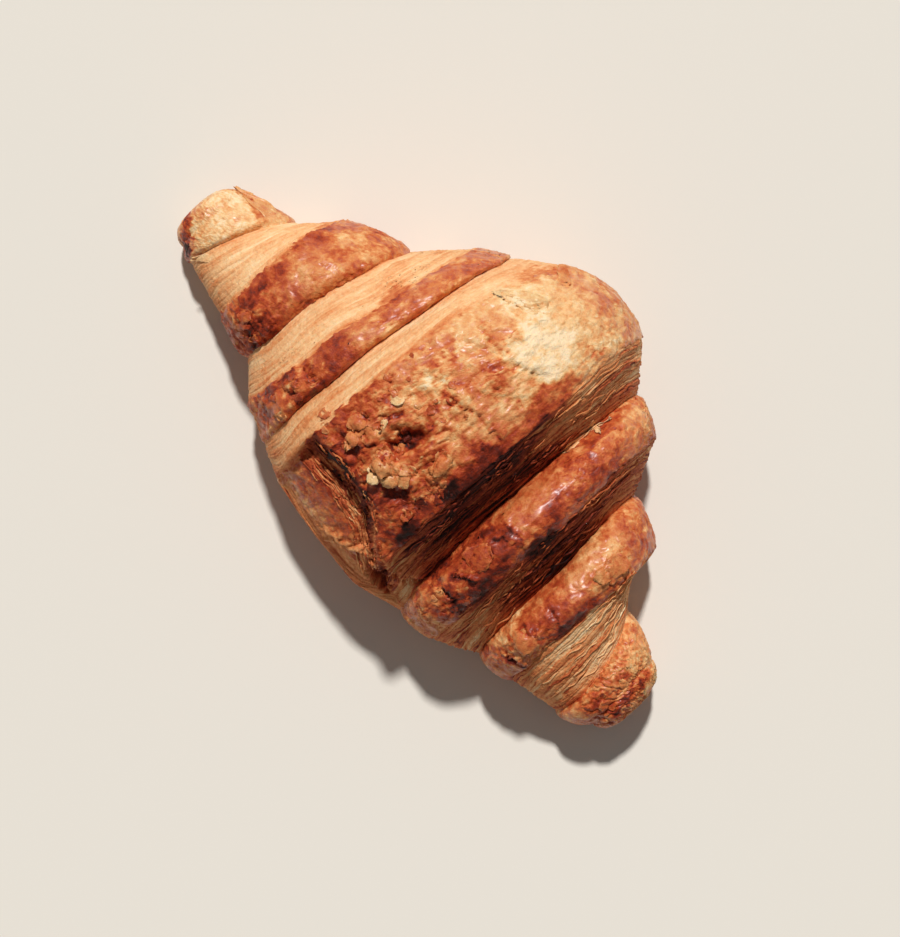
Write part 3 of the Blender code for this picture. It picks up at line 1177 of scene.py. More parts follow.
@dataclass
class Middle(Turn):
    """The last and widest turn, with the dough's tail as a flap across the hollow side.

    Attributes:
        tail_line: The flap's end, as points from left to right.
        tail_step: How far the turn under it lies below it.
    """

    tail_line: tuple[tuple[float, float], ...] = (
        (-24, -15.2), (-15, -15.6), (-10, -15.6), (-5, -16.6), (0, -17.6), (3, -20),
        (6, -22), (10, -24.8), (12, -26.3), (15, -26.0), (17, -24.2), (20, -20),
    )
    tail_step: float = 4.6
    # The flap's torn end is painted dark brown: painted shade, as it faces away from the light.
    tail_look: FaceLook = FaceLook(
        ((-24, 0.58), (-15, 0.66)), pitch=0.75, height=0.5, streaks=0.34, gaps=0.36, rough=3.0
    )
    # The bottom rim's layers are painted darker and warmer: painted shade, where the rim lies in shadow.
    rim_look: FaceLook = FaceLook(((-32, 0.44), (-20, 0.40)), pitch=1.1, height=0.35, streaks=0.16, gaps=0.24)

    def course(self) -> list[Stretch]:
        """Plug, face, crust, face and plug."""
        edge, far = R.middle_left_edge, R.middle_right_edge
        inner, outer = behind(R.left_crease_1, edge), behind(R.right_crease_1, far)
        return [
            plug(inner).turned(),
            tuck(R.left_crease_1.row(), inner).turned(),
            face(R.left_crease_1, edge, self.face_pitch),
            crust(edge, R.middle_crust, far, (EDGE_ROLL, EDGE_ROLL), self.crust_pitch),
            face(R.right_crease_1, far, self.face_pitch).turned(),
            tuck(R.right_crease_1.row(), outer),
            plug(outer),
        ]

    def reshape(self, points: np.ndarray, level: np.ndarray) -> np.ndarray:
        """Sink the turn under the flap, and hollow the trough at the flap's foot."""
        grain = Grain(31)
        y, z = points[..., 1], points[..., 2]
        line = np.interp(points[..., 0], *zip(*self.tail_line))
        line = line + 0.9 * grain.layered(points, 4.0, 3)
        inside = rise(-21.5, -18.5, points[..., 0]) * (1 - rise(17.0, 20.0, points[..., 0]))
        past = rise(0.0, 1.3, line - y) * inside
        trough = np.exp(-(((line - y - 3.2) / 2.2) ** 2)) * inside * (points[..., 0] < 6)
        above = rise(0, 9, z - level)
        points = points.copy()
        points[..., 2] -= (self.tail_step * past + 1.6 * trough) * above
        return points

    def tears(self, points: np.ndarray, warped: np.ndarray) -> list[Cut]:
        """The flap's torn end, and the edge of the turn under it along the bottom."""
        x, y, z = (points[..., axis] for axis in range(3))
        line = np.interp(x, *zip(*self.tail_line))
        below = line - warped[..., 1]
        reach = np.interp(x, [-20, -8, -3, 2, 12], [5.6, 5.4, 3.4, 5.0, 5.0])
        inside = rise(-21.0, -19.5, x) * (1 - rise(12.0, 14.0, x)) * (z > 20)
        end = rise(-0.5, 0.1, below) * (1 - rise(0.0, 0.8, below - reach)) * inside
        rim = (1 - rise(-29.0, -28.0, warped[..., 1])) * rise(-26, -20, x) * (z > 3)
        return [Cut(self.tail_look, end, below, x), Cut(self.rim_look, rim, z, x)]



@dataclass(frozen=True)
class Tone:
    """A colour as it looks in daylight, in steps from 0 to 255."""

    red: int
    green: int
    blue: int

    def light(self) -> tuple[float, float, float, float]:
        """The colour as linear light."""
        return (*(self._linear(step / 255) for step in (self.red, self.green, self.blue)), 1.0)

    @staticmethod
    def _linear(share: float) -> float:
        """One channel as linear light."""
        return share / 12.92 if share <= 0.04045 else ((share + 0.055) / 1.055) ** 2.4


class Signal:
    """A shader socket that reckons like a number."""

    def __init__(self, bench: "Bench", socket: bpy.types.NodeSocket) -> None:
        """Hold the socket."""
        self.bench = bench
        self.socket = socket

    def _math(self, operation: str, *values: "Signal | float") -> "Signal":
        """Add a Math node."""
        return self.bench.node("ShaderNodeMath", {"operation": operation}, dict(enumerate(values)))

    def __add__(self, other: "Signal | float") -> "Signal":
        """Sum."""
        return self._math("ADD", self, other)

    def __radd__(self, other: float) -> "Signal":
        """Sum."""
        return self._math("ADD", other, self)

    def __sub__(self, other: "Signal | float") -> "Signal":
        """Difference."""
        return self._math("SUBTRACT", self, other)

    def __rsub__(self, other: float) -> "Signal":
        """Difference."""
        return self._math("SUBTRACT", other, self)

    def __mul__(self, other: "Signal | float") -> "Signal":
        """Product."""
        return self._math("MULTIPLY", self, other)

    def __rmul__(self, other: float) -> "Signal":
        """Product."""
        return self._math("MULTIPLY", other, self)

    def held(self) -> "Signal":
        """The value, held between 0 and 1."""
        return self._math("MINIMUM", self._math("MAXIMUM", self, 0.0), 1.0)

    def rise(self, low: float, high: float) -> "Signal":
        """Rise smoothly from 0 at low to 1 at high."""
        limits = {"Value": self, "From Min": low, "From Max": high}
        return self.bench.node("ShaderNodeMapRange", {"interpolation_type": "SMOOTHSTEP"}, limits)


class Bench:
    """Where a material's nodes are laid out."""

    def __init__(self, name: str) -> None:
        """Start a material with an empty tree."""
        self.material = bpy.data.materials.new(name)
        self.material.use_nodes = True
        self.tree = self.material.node_tree
        self.tree.nodes.clear()

    def node(
        self,
        kind: str,
        settings: dict[str, object] | None = None,
        inputs: dict[str | int, object] | None = None,
        output: str | int = 0,
    ) -> Signal:
        """Add a node.

        Args:
            kind: The node's type.
            settings: Its settings. The stops of a ramp are pairs of place and colour.
            inputs: A value or a signal for each socket, by name or number.
            output: The socket it gives back, by name or number.

        Returns:
            The output as a signal.
        """
        node = self.tree.nodes.new(kind)
        for name, value in (settings or {}).items():
            if name == "stops":
                self._stops(node.color_ramp, value)
            else:
                setattr(node, name, value)
        for name, value in (inputs or {}).items():
            if isinstance(value, Signal):
                self.tree.links.new(value.socket, node.inputs[name])
            else:
                node.inputs[name].default_value = value
        return Signal(self, node.outputs[output]) if node.outputs else Signal(self, node.inputs[0])

    @staticmethod
    def _stops(ramp: bpy.types.ColorRamp, stops: Sequence[tuple[float, Tone]]) -> None:
        """Set a ramp's stops."""
        while len(ramp.elements) < len(stops):
            ramp.elements.new(0.5)
        for element, (place, tone) in zip(ramp.elements, stops):
            element.position = place
            element.color = tone.light()

    def painted(self, name: str) -> Signal:
        """A number painted on the mesh."""
        return self.node("ShaderNodeAttribute", {"attribute_name": name}, output="Fac")

    def noise(
        self, size: float, detail: float = 2.0, stretch: tuple[float, float, float] = (1, 1, 1)
    ) -> Signal:
        """Noise about 0, with waves of a size in millimetres."""
        places = self.node("ShaderNodeTexCoord", output="Object")
        places = self.node("ShaderNodeMapping", {}, {"Vector": places, "Scale": stretch})
        waves = {"Vector": places, "Scale": 1 / (size * METRES), "Detail": detail}
        return self.node("ShaderNodeTexNoise", {}, waves) - 0.5

    def mix(self, first: object, second: object, share: Signal | float) -> Signal:
        """Mix two colours."""
        return self.node("ShaderNodeMix", {"data_type": "RGBA"}, {0: share, 6: first, 7: second}, 2)


@dataclass(frozen=True)
class Pastry:
    """The finish of the dough: glazed crust, and dry layers where it is cut.

    Attributes:
        name: The material's name.
        crust: The crust's colours, as pairs of browning and tone.
        layers: The cut layers' colours, the same way.
        crust_roughness: The crust's roughness where it has the most glaze.
        layer_roughness: The roughness of the cut layers.
    """

    name: str = "baked_dough"
    crust: tuple[tuple[float, Tone], ...] = (
        (0.00, Tone(247, 219, 178)),
        (0.16, Tone(240, 196, 140)),
        (0.30, Tone(229, 164, 104)),
        (0.42, Tone(214, 128, 72)),
        (0.55, Tone(194, 90, 44)),
        (0.67, Tone(164, 58, 27)),
        (0.80, Tone(112, 34, 17)),
        (0.92, Tone(66, 22, 12)),
        (1.00, Tone(40, 15, 9)),
    )
    layers: tuple[tuple[float, Tone], ...] = (
        (0.00, Tone(249, 217, 170)),
        (0.20, Tone(242, 189, 134)),
        (0.40, Tone(224, 142, 85)),
        (0.60, Tone(190, 88, 46)),
        (0.80, Tone(124, 42, 23)),
        (1.00, Tone(40, 14, 9)),
    )
    crust_roughness: float = 0.5
    layer_roughness: float = 0.72

    def dress(self, piece: bpy.types.Object) -> None:
        """Put the finish on a piece, and make it once if it isn't there."""
        material = bpy.data.materials.get(self.name) or self._make()
        piece.data.materials.clear()
        piece.data.materials.append(material)

    def _make(self) -> bpy.types.Material:
        """Lay out the nodes."""
        bench = Bench(self.name)
        # The bake level holds browning and, in places, painted shade and painted highlight.
        bake, layers = bench.painted("bake"), bench.painted("layers")
        gloss = bench.painted("gloss")
        blotch, mottle, speck = bench.noise(3.4, 5.0), bench.noise(0.9, 3.0), bench.noise(0.32, 1.0)
        tone = (bake + blotch * 0.20 + mottle * 0.26 + speck * 0.14).held()
        crust_colour = bench.node("ShaderNodeValToRGB", {"stops": self.crust}, {"Fac": tone})
        layer_colour = bench.node("ShaderNodeValToRGB", {"stops": self.layers}, {"Fac": tone})
        colour = bench.mix(crust_colour, layer_colour, layers)
        shine = (gloss + mottle * 0.9).rise(0.25, 0.95) * (1 - bake.rise(0.74, 0.95) * 0.85)
        smoother = self.layer_roughness - self.crust_roughness - 0.14
        rough = self.layer_roughness - (1 - layers) * (0.14 + shine * smoother)
        ripple = bench.noise(1.5, 2.0)
        relief = ripple * 1.5 + mottle * 1.2 + speck * 0.6
        bump = bench.node(
            "ShaderNodeBump", {}, {"Strength": 0.8, "Distance": 0.28 * METRES, "Height": relief}
        )
        coat = shine * (1 - layers)
        sockets = {
            "Base Color": colour,
            "Roughness": (rough + mottle * 0.12).held(),
            "Coat Weight": coat,
            "Coat Roughness": 0.33,
            "Specular IOR Level": 0.2,
            "Subsurface Weight": 0.12,
            "Subsurface Radius": (1.0, 0.5, 0.25),
            "Subsurface Scale": 1.5 * METRES,
            "Normal": bump,
        }
        shader = bench.node("ShaderNodeBsdfPrincipled", {}, sockets)
        bench.node("ShaderNodeOutputMaterial", {}, {"Surface": shader})
        return bench.material


@dataclass(frozen=True)
class Studio:
    """The floor, the lamps and the camera, straight above the croissant.

    Attributes:
        aim: The point under the camera, in millimetres in the part's frame.
        width: How much floor the view is wide, at the height of the aim.
        lens: The camera's focal length.
        sun_from: The direction that the main light comes from.
        sun_power: The main light's strength.
        sun_spread: How soft the main light's shadows are, in degrees.
        sky: The strength of the light from all round.
        floor: The floor's colour.
    """

    aim: tuple[float, float, float]
    width: float = 200.7
    lens: float = 85.0
    sensor: float = 36.0
    roll: float = 45.0
    sun_from: tuple[float, float, float] = (-0.41, 0.41, 0.815)
    sun_power: float = 3.2
    sun_spread: float = 4.0
    sky: float = 0.15
    floor: Tone = Tone(233, 226, 214)

    def build(self) -> None:
        """Set up the view, the light and the floor."""
        self._floor()
        self._lamps()
        self._camera()

    def _floor(self) -> None:
        """Lay a plain pale floor."""
        bpy.ops.object.select_all(action="DESELECT")
        bpy.ops.mesh.primitive_plane_add(size=6.0)
        plane = bpy.context.active_object
        plane.name = "floor"
        bench = Bench("floor")
        shader = bench.node(
            "ShaderNodeBsdfPrincipled", {}, {"Base Color": self.floor.light(), "Roughness": 0.8}
        )
        bench.node("ShaderNodeOutputMaterial", {}, {"Surface": shader})
        plane.data.materials.append(bench.material)

    def _lamps(self) -> None:
        """Hang the main light and light the room."""
        lamp = bpy.data.lights.new("main_light", "SUN")
        lamp.energy = self.sun_power
        lamp.angle = math.radians(self.sun_spread)
        sun = bpy.data.objects.new("main_light", lamp)
        sun.rotation_euler = Vector(self.sun_from).to_track_quat("Z", "Y").to_euler()
        bpy.context.scene.collection.objects.link(sun)
        world = bpy.data.worlds.new("room")
        world.use_nodes = True
        world.node_tree.nodes["Background"].inputs["Color"].default_value = (1.0, 1.0, 1.0, 1.0)
        world.node_tree.nodes["Background"].inputs["Strength"].default_value = self.sky
        bpy.context.scene.world = world

    def _camera(self) -> None:
        """Look straight down, rolled so that the roll of dough lies across the corners."""
        eye = bpy.data.cameras.new("camera")
        eye.lens = self.lens
        eye.sensor_fit = "HORIZONTAL"
        eye.sensor_width = self.sensor
        eye.clip_start = 0.01
        camera = bpy.data.objects.new("camera", eye)
        height = self.width * self.lens / self.sensor
        x, y, z = self.aim
        camera.location = (x * METRES, y * METRES, (z + height) * METRES)
        camera.rotation_euler = (0.0, 0.0, math.radians(self.roll))
        bpy.context.scene.collection.objects.link(camera)
        bpy.context.scene.camera = camera
        bpy.context.scene.view_settings.view_transform = "Standard"


LARGE_FLAKES = (
    Flake(-9.4, 38.0, 13.0, 5.0, -150, 0.12, 0.24, 0.0, pointed=0.7),
    Flake(-3.4, -9.2, 6.0, 9.0, -85, 0.9, 0.42, 0.2, pointed=0.2),
    Flake(-4.4, -12.4, 3.6, 4.6, -70, 0.9, 0.16, 0.3, pointed=0.5),
    Flake(-0.4, -8.0, 4.6, 5.0, -60, 0.8, 0.36, 0.2, pointed=0.4),
    Flake(4.0, -0.6, 7.0, 4.2, -78, 0.5, 0.44, 0.1, pointed=0.3),
    Flake(-67.0, 11.8, 12.0, 3.4, 190, 0.15, 0.34, 0.0, pointed=0.7),
    Flake(-6.4, 48.6, 5.0, 3.0, 150, 0.25, 0.42, 0.0),
    Flake(47.6, 10.0, 8.6, 5.0, -95, 0.35, 0.46, 0.0),
    Flake(45.6, -15.0, 5.6, 5.4, -80, 0.4, 0.46, -0.1),
    Flake(-13.0, 2.4, 3.0, 2.2, 20, 0.4, 0.18, 0.2),
    Flake(-11.2, -3.4, 3.4, 1.6, -60, 0.5, 0.22, 0.2),
    Flake(-22.3, -11.2, 3.2, 2.6, -85, 0.3, 0.52, 0.1),
    Flake(22.0, 27.0, 14.0, 1.6, 84, 0.9, 0.22, 0.3, 1.0, 0.7),
    Flake(23.0, 29.5, 3.4, 1.4, 20, 0.7, 0.22, 0.3, 1.0, 0.8),
    Flake(-15.5, -6.6, 5.4, 4.0, -100, 0.5, 0.52, 0.2),
    Flake(-14.0, -10.0, 6.0, 3.2, -80, 0.6, 0.46, 0.2),
    Flake(24.6, -9.0, 6.4, 7.0, 85, 0.4, 0.60, 0.0),
    Flake(6.4, -13.4, 4.4, 3.2, -60, 0.6, 0.62, 0.3),
    Flake(-66.4, -5.8, 4.4, 2.2, -140, 0.4, 0.20, 0.2, 1.0, 0.6),
)

# x, y, half width, half height and how many small flakes
FLAKY_PLACES = (
    (-12.0, -7.0, 8.0, 8.0, 26),
    (3.0, -10.0, 8.0, 8.0, 26),
    (-8.0, 8.0, 11.0, 6.0, 12),
    (-47.5, -9.0, 3.5, 3.0, 8),
    (-31.0, -14.0, 2.6, 7.0, 8),
    (26.5, -19.0, 3.6, 6.0, 10),
    (45.5, -16.0, 3.2, 4.0, 5),
    (66.0, -8.0, 4.0, 6.0, 8),
)

# the crease and the edge of a face, how many strands there are and how high they stand
STRANDED_FACES = (
    (R.right_crease_1, R.middle_right_edge, 60, 0.35),
    (R.right_crease_2, R.right_edge_1, 40, 0.30),
    (R.right_crease_3, R.right_edge_2, 26, 0.22),
)
TAIL_STRANDS = 110


@dataclass
class Croissant:
    """The whole croissant, put together from its turns.

    Attributes:
        origin: Where the layout's origin lies in the part's frame, in millimetres.
        finish: The dough's finish.
    """

    origin: np.ndarray
    finish: Pastry = field(default_factory=Pastry)

    def turns(self) -> list[Turn]:
        """The seven turns from left to right."""
        return [
            self._left_tip(),
            self._left_outer(),
            self._left_inner(),
            self._middle(),
            self._right_inner(),
            self._right_outer(),
            self._right_tip(),
        ]

    def flakes(self, top: Top) -> Sheets:
        """The flakes of crust that have come loose: each large one, and the small ones in their places."""
        sheets = Sheets("crust_flakes", self.finish, self.origin, top, 500)
        for flake in LARGE_FLAKES:
            sheets.lay(flake)
        rng = np.random.default_rng(12)
        for x, y, wide, tall, count in FLAKY_PLACES:
            for _ in range(count):
                place = np.array([x, y]) + rng.uniform(-1, 1, 2) * (wide, tall)
                size = rng.uniform(0.9, 2.6)
                around = place[:, None] + rng.uniform(-0.8, 0.8, (2, 9))
                tone = top.baked(*around) + rng.uniform(-0.08, 0.10)
                shape = (size, size * rng.uniform(0.6, 1.5), rng.uniform(0, 360), rng.uniform(0.02, 0.18))
                sheets.lay(Flake(*place, *shape, tone, 0.0))
        return sheets

    def strands(self, top: Top) -> Sheets:
        """The strands of dough that stand off the cut faces."""
        sheets = Sheets("layer_strands", self.finish, self.origin, top, 900, thick=0.2, grid=(30, 2))
        rng = np.random.default_rng(21)
        steps = np.linspace(0, 1, sheets.grid[0] + 1)
        for crease, edge, count, lift in STRANDED_FACES:
            for step in range(count):
                share = 0.12 + 0.82 * (step + rng.random()) / count
                ring = crease.row() + (edge.row() - crease.row()) * share
                span = ring[4] - ring[3]
                length = span * rng.uniform(0.08, 0.26)
                y = ring[3] + span * 0.06 + rng.random() * (span * 0.88 - length) + length * steps
                x = ring[0] + ring[1] * y + ring[2] * y * y + self._wander(rng, y)
                # A strand takes the browning of the face under it, the face's painted shade included.
                tone = top.baked(x, y) + rng.uniform(-0.16, 0.04)
                sheets.strand(x, y, rng.uniform(0.25, 0.6), rng.uniform(0.02, lift), tone)
        for _ in range(TAIL_STRANDS):
            length, below = rng.uniform(2.0, 8.0), rng.uniform(-0.3, 6.8)
            x = rng.uniform(-20.0, 11.0 - length) + length * steps
            y = np.interp(x, *zip(*Middle.tail_line)) - below + self._wander(rng, x, 0.45)
            tone = rng.uniform(0.30, 0.66) + 0.14 * (x.mean() < -6) * rng.random()
            sheets.strand(x, y, rng.uniform(0.25, 0.8), rng.uniform(0.0, 0.3), tone)
        return sheets

    @staticmethod
    def _wander(rng: np.random.Generator, along: np.ndarray, amount: float = 1.0) -> np.ndarray:
        """How far a strand strays to its side on its way."""
        return sum(
            amount * rng.uniform(0.1, 0.34) * np.sin(along * 6.3 / length + rng.uniform(0, 6.3))
            for length in (rng.uniform(7, 13), rng.uniform(3, 6))
        )

    def _left_tip(self) -> Turn:
        """The left tip: blunt, golden, scorched along its lower rim."""
        return Tip(
            "left_tip", self.finish, self.origin, 101,
            browning=((-8, 0.46), (-3, 0.31), (8, 0.30), (13, 0.42)),
            fans=(Fan(-54.0, 5.0, 120, 0.15, 5.0, 40.0, 0.8),),
            spots=(
                Spot(-72.5, -4.6, 5.5, 1.3, Bake.MAHOGANY, 0.9, -42),
                Spot(-69.5, -6.6, 1.5, 0.8, Bake.BURNT, 1.0, -40),
                Spot(-67.5, 10.9, 3.6, 1.0, Bake.CHESTNUT, 0.8, -14),
                Spot(-63.5, 10.0, 1.6, 1.8, Bake.RUSSET, 0.6),
            ),
            columns=220, crust_pitch=0.24, flakiness=0.15, wrinkled=0.35,
            tip=R.left_tip, neck=R.left_neck, crease=R.left_crease_3,
        )

    def _left_outer(self) -> Turn:
        """The outer turn on the left."""
        return LeftTurn(
            "left_outer_turn", self.finish, self.origin, 102,
            browning=((-14, 0.66), (-6, 0.65), (2, 0.60), (10, 0.50), (18, 0.51), (28, 0.58)),
            spots=(
                Spot(-52.0, 10.0, 1.7, 12.0, Bake.CHESTNUT, 0.6, -4),
                # These two are glossier and painted lighter where the sheen falls: the glaze is real, the
                # lighter tone is painted highlight.
                Spot(-49.5, 12.0, 2.6, 4.5, Bake.TAN, 0.6, gloss=0.95),
                Spot(-47.0, 6.5, 2.4, 2.8, Bake.GOLD, 0.55, gloss=0.9),
                Spot(-45.5, 11.0, 3.0, 2.0, Bake.TAN, 0.6),
                Spot(-42.0, 12.0, 2.0, 10.0, Bake.GOLD, 0.6, -10),
                Spot(-40.2, 14.0, 0.8, 6.0, Bake.RUSSET, 0.7, -12),
                Spot(-45.0, -8.0, 3.2, 5.5, Bake.MAHOGANY, 0.6),
                Spot(-52.5, -4.5, 1.6, 4.5, Bake.MAHOGANY, 0.6),
                Spot(-47.0, 4.0, 4.5, 1.6, Bake.CHESTNUT, 0.6),
                Spot(-49.0, -11.8, 3.5, 1.2, Bake.TAN, 0.6, 5),
            ),
            folds=(
                Fold(((-38.9, 22.5), (-39.8, 17), (-41.3, 10), (-42.6, 4), (-43.6, 0)), 0.25, 0.4, 0.45, 2.0),
                Fold(((-50, -9.0), (-47.2, -8.2), (-45.2, -9.8)), 0.6, 0.5, 0.3),
                Fold(((-48.6, -12), (-46.8, -10.2), (-44.6, -11.2), (-42.8, -9.4)), 0.6, 0.5, 0.3),
            ),
            ruffles=(Lump(-47, -9, 7, 6, 0.9), Lump(-49, 16, 6, 10, 0.25)),
            columns=280,
            look=FaceLook(((-14, 0.36), (-8, 0.28), (0, 0.23), (12, 0.21), (26, 0.22))),
            crease=R.left_crease_3, edge=R.left_edge_2, crown=R.left_crust_2, end=R.left_crease_2,
        )

    def _left_inner(self) -> Turn:
        """The inner turn on the left."""
        return LeftTurn(
            "left_inner_turn", self.finish, self.origin, 103,
            browning=(
                (-24, 0.58), (-16, 0.64), (-8, 0.66), (2, 0.64),
                (9, 0.52), (16, 0.52), (26, 0.52), (42, 0.54),
            ),
            spots=(
                Spot(-26.3, 19.5, 1.7, 8.5, Bake.RUSSET, 0.5, -14, gloss=1.0),
                Spot(-30.0, 19.0, 1.2, 3.6, Bake.MAHOGANY, 0.6, -14),
                Spot(-23.8, 18.0, 1.1, 4.5, Bake.RUSSET, 0.9, -8),
                # Glossier and painted lighter where the sheen falls: the glaze is real, the lighter tone is
                # painted highlight.
                Spot(-31.0, 8.0, 2.0, 3.5, Bake.TAN, 0.5, gloss=0.9),
                Spot(-28.5, 1.5, 4.0, 4.0, Bake.CHESTNUT, 0.6),
                Spot(-31.4, -10.0, 1.8, 1.6, Bake.TAN, 0.6),
                Spot(-31.0, -17.0, 2.2, 1.8, Bake.TAN, 0.6),
                # Painted shade where the crust dips into the crease under the next face.
                Spot(-27.4, -9.0, 1.2, 7.5, Bake.MAHOGANY, 0.7),
                Spot(-33.8, -12.0, 1.2, 3.0, Bake.MAHOGANY, 0.6),
            ),
            lumps=(
                Lump(-31.4, -10, 2.2, 1.9, 0.7),
                Lump(-31.0, -17, 2.4, 1.9, 0.7),
                Lump(-31.2, -6.4, 3.0, 1.0, -0.6),
            ),
            folds=(
                Fold(((-34, -7), (-31.5, -6.6), (-30, -7.6), (-28, -7.2)), 0.5, 0.5, 0.4),
                Fold(((-33.5, -14), (-31, -13.2), (-28.4, -13.8)), 0.4, 0.5, 0.3),
            ),
            ruffles=(Lump(-31, -13, 5, 9, 0.9),),
            columns=330,
            look=FaceLook(((-22, 0.31), (-10, 0.26), (0, 0.23), (40, 0.23))),
            crease=R.left_crease_2, edge=R.left_edge_1, crown=R.left_crust_1, end=R.left_crease_1,
        )

    def _middle(self) -> Turn:
        """The wide turn in the middle, torn and scorched on its hollow side."""
        return Middle(
            "middle_turn", self.finish, self.origin, 104,
            browning=(
                (-31, 0.36), (-28.5, 0.46), (-27, 0.58), (-24, 0.62), (-20, 0.72), (-15, 0.72), (-9, 0.62),
                (-3, 0.58), (4, 0.53), (12, 0.49), (20, 0.45), (27, 0.40), (34, 0.30), (44, 0.33), (54, 0.46),
            ),
            spots=(
                Spot(2.5, 34.0, 6.4, 7.0, Bake.CREAM, 0.85, gloss=0.35),
                Spot(0.0, 44.5, 7.0, 4.0, Bake.GOLD, 0.6, gloss=0.3),
                Spot(-9.3, 38.6, 6.0, 2.4, Bake.STRAW, 0.75, 32, gloss=0.3),
                Spot(-10.4, 45.5, 1.3, 5.0, Bake.RUSSET, 0.85, -38),
                Spot(-6.0, 50.0, 3.6, 1.6, Bake.TAN, 0.8, 15),
                Spot(4.6, 51.0, 2.0, 2.0, Bake.RUSSET, 0.75),
                Spot(-9.6, 30.5, 4.0, 3.2, Bake.RUSSET, 0.55, gloss=1.0),
                Spot(-7.0, 35.5, 1.6, 1.6, Bake.TAN, 0.8),
                Spot(10.9, 28.0, 2.8, 6.5, Bake.CHESTNUT, 1.0),
                Spot(11.2, 20.0, 1.7, 5.5, Bake.CHESTNUT, 0.7),
                Spot(10.6, 4.0, 3.6, 11.0, Bake.MAHOGANY, 1.0),
                Spot(13.0, 40.0, 0.8, 7.0, Bake.TAN, 0.7),
                Spot(-3.0, 17.5, 2.6, 4.2, Bake.RUSSET, 0.6, -20),
                # These four are glossier and painted lighter where the sheen falls: the glaze is real, the
                # lighter tone is painted highlight.
                Spot(6.0, 17.0, 3.0, 3.2, Bake.TAN, 0.5, gloss=0.9),
                Spot(4.0, 24.0, 3.0, 2.4, Bake.GOLD, 0.6, gloss=0.9),
                Spot(-9.5, 24.0, 5.0, 2.4, Bake.GOLD, 0.6, gloss=0.95),
                Spot(-16.0, 15.0, 2.6, 4.6, Bake.TAN, 0.5, 20, gloss=0.95),
                Spot(3.0, 11.2, 6.0, 1.5, Bake.GOLD, 0.8, 6),
                Spot(-17.0, 6.0, 3.0, 4.0, Bake.TAN, 0.6),
                Spot(-13.0, 2.3, 1.5, 1.1, Bake.STRAW, 0.8),
                Spot(-11.0, -3.6, 0.9, 1.6, Bake.STRAW, 0.7, 25),
                Spot(4.4, 0.0, 2.2, 3.6, Bake.TAN, 0.85, 15),
                Spot(-1.0, -9.0, 5.2, 2.2, Bake.TAN, 0.8, 4),
                Spot(-5.4, -3.0, 2.0, 4.6, Bake.BURNT, 1.0, -24, gloss=0.0),
                Spot(9.8, -4.5, 1.7, 3.4, Bake.BURNT, 0.9),
                Spot(9.7, -16.6, 1.6, 3.4, Bake.BURNT, 0.85),
                Spot(9.0, -10.5, 1.6, 2.2, Bake.CHESTNUT, 0.7),
                Spot(-13.5, -12.5, 4.5, 1.6, Bake.MAHOGANY, 0.7),
                Spot(1.5, -12.5, 3.0, 2.4, Bake.MAHOGANY, 0.75),
                Spot(4.5, -15.8, 2.6, 1.8, Bake.RUSSET, 0.7),
                # Painted shade in the trough at the flap's foot.
                Spot(-12.0, -21.8, 8.0, 1.2, Bake.MAHOGANY, 0.5, -3, gloss=0.1),
                Spot(8.0, -22.6, 4.0, 1.6, Bake.TAN, 0.6, -18),
                Spot(15.0, -22.5, 3.2, 3.4, Bake.TAN, 0.7, layers=0.9),
                Spot(12.5, -28.2, 3.2, 1.4, Bake.MAHOGANY, 0.9),
                Spot(-6.0, -25.0, 14.0, 2.4, Bake.RUSSET, 0.7, -5, gloss=0.35),
                # Painted shade: the bottom rim's layers darker and warmer, where the rim lies in shadow.
                Spot(3.0, -30.5, 17.0, 1.7, Bake.TAN, 0.8, -3, layers=1.0),
                Spot(5.0, -26.6, 7.0, 0.9, Bake.GOLD, 0.8, 18, layers=1.0),
            ),
            lumps=(
                Lump(-5.4, -3.0, 2.4, 4.6, -3.2, -24, 0.6),
                Lump(-1.5, -9.2, 5.0, 2.3, 1.2, 6, 0.25),
                Lump(-3.6, -13.0, 2.2, 1.6, 1.0, 20, 0.3),
                Lump(4.4, -0.6, 1.7, 3.8, 0.8, 12, 0.35),
                Lump(-17.5, 5.0, 3.5, 4.5, 0.6),
                Lump(-0.5, 0.5, 2.0, 3.0, 0.7, -10, 0.5),
                Lump(12.4, -28.3, 2.8, 1.3, -2.6, 0, 0.4),
                Lump(-13.0, -12.8, 5.0, 1.4, -1.0, -8, 0.5),
                Lump(3.5, -12.5, 3.4, 2.0, -0.9, 0, 0.6),
                Lump(8.5, -23.6, 4.2, 1.6, 0.9, -20, 0.6),
                Lump(3.0, -27.3, 6.5, 0.8, 0.9, 18, 0.6),
            ),
            folds=(
                Fold(
                    ((-7, 12.4), (-4.6, 11.6), (-3, 11.5), (-1, 12.3), (3, 12.2), (7, 12.8), (12, 13.2)),
                    0.7, 0.4, 0.6,
                ),
                Fold(
                    ((-16, 35.6), (-12.5, 35.2), (-9.5, 36.4), (-5.2, 41.2), (-3.4, 44.5)),
                    0.15, 0.35, 0.45, 5.0,
                ),
                Fold(
                    ((-6.4, 33.5), (-5.0, 29.5), (-3.0, 28.3), (0.5, 27.2), (4, 27.8), (6.6, 28.4)),
                    0.45, 0.35, 0.8, 5.0,
                ),
                Fold(((-13.6, 27), (-9, 26.2), (-5, 27.6), (-2.4, 25.4), (0.8, 24.6)), 0.4, 0.35, 0.6, 3.0),
                Fold(((10.8, 46), (11.4, 40), (10.6, 35)), 0.3, 0.35, 0.3, 2.0),
                Fold(((-17, -11.8), (-13, -11.4), (-10.6, -9.6), (-7.4, -8.8)), 0.8, 0.6, 0.7, 3.0),
                Fold(((-19.6, -8.2), (-15.5, -8.6), (-12.8, -8.0), (-9.6, -7.6)), 0.6, 0.5, 0.5, 3.0),
                Fold(((-10.4, -4.8), (-11.2, -2.4), (-10.4, 0.2), (-8, 1.6)), 0.5, 0.5, -0.4, 2.5),
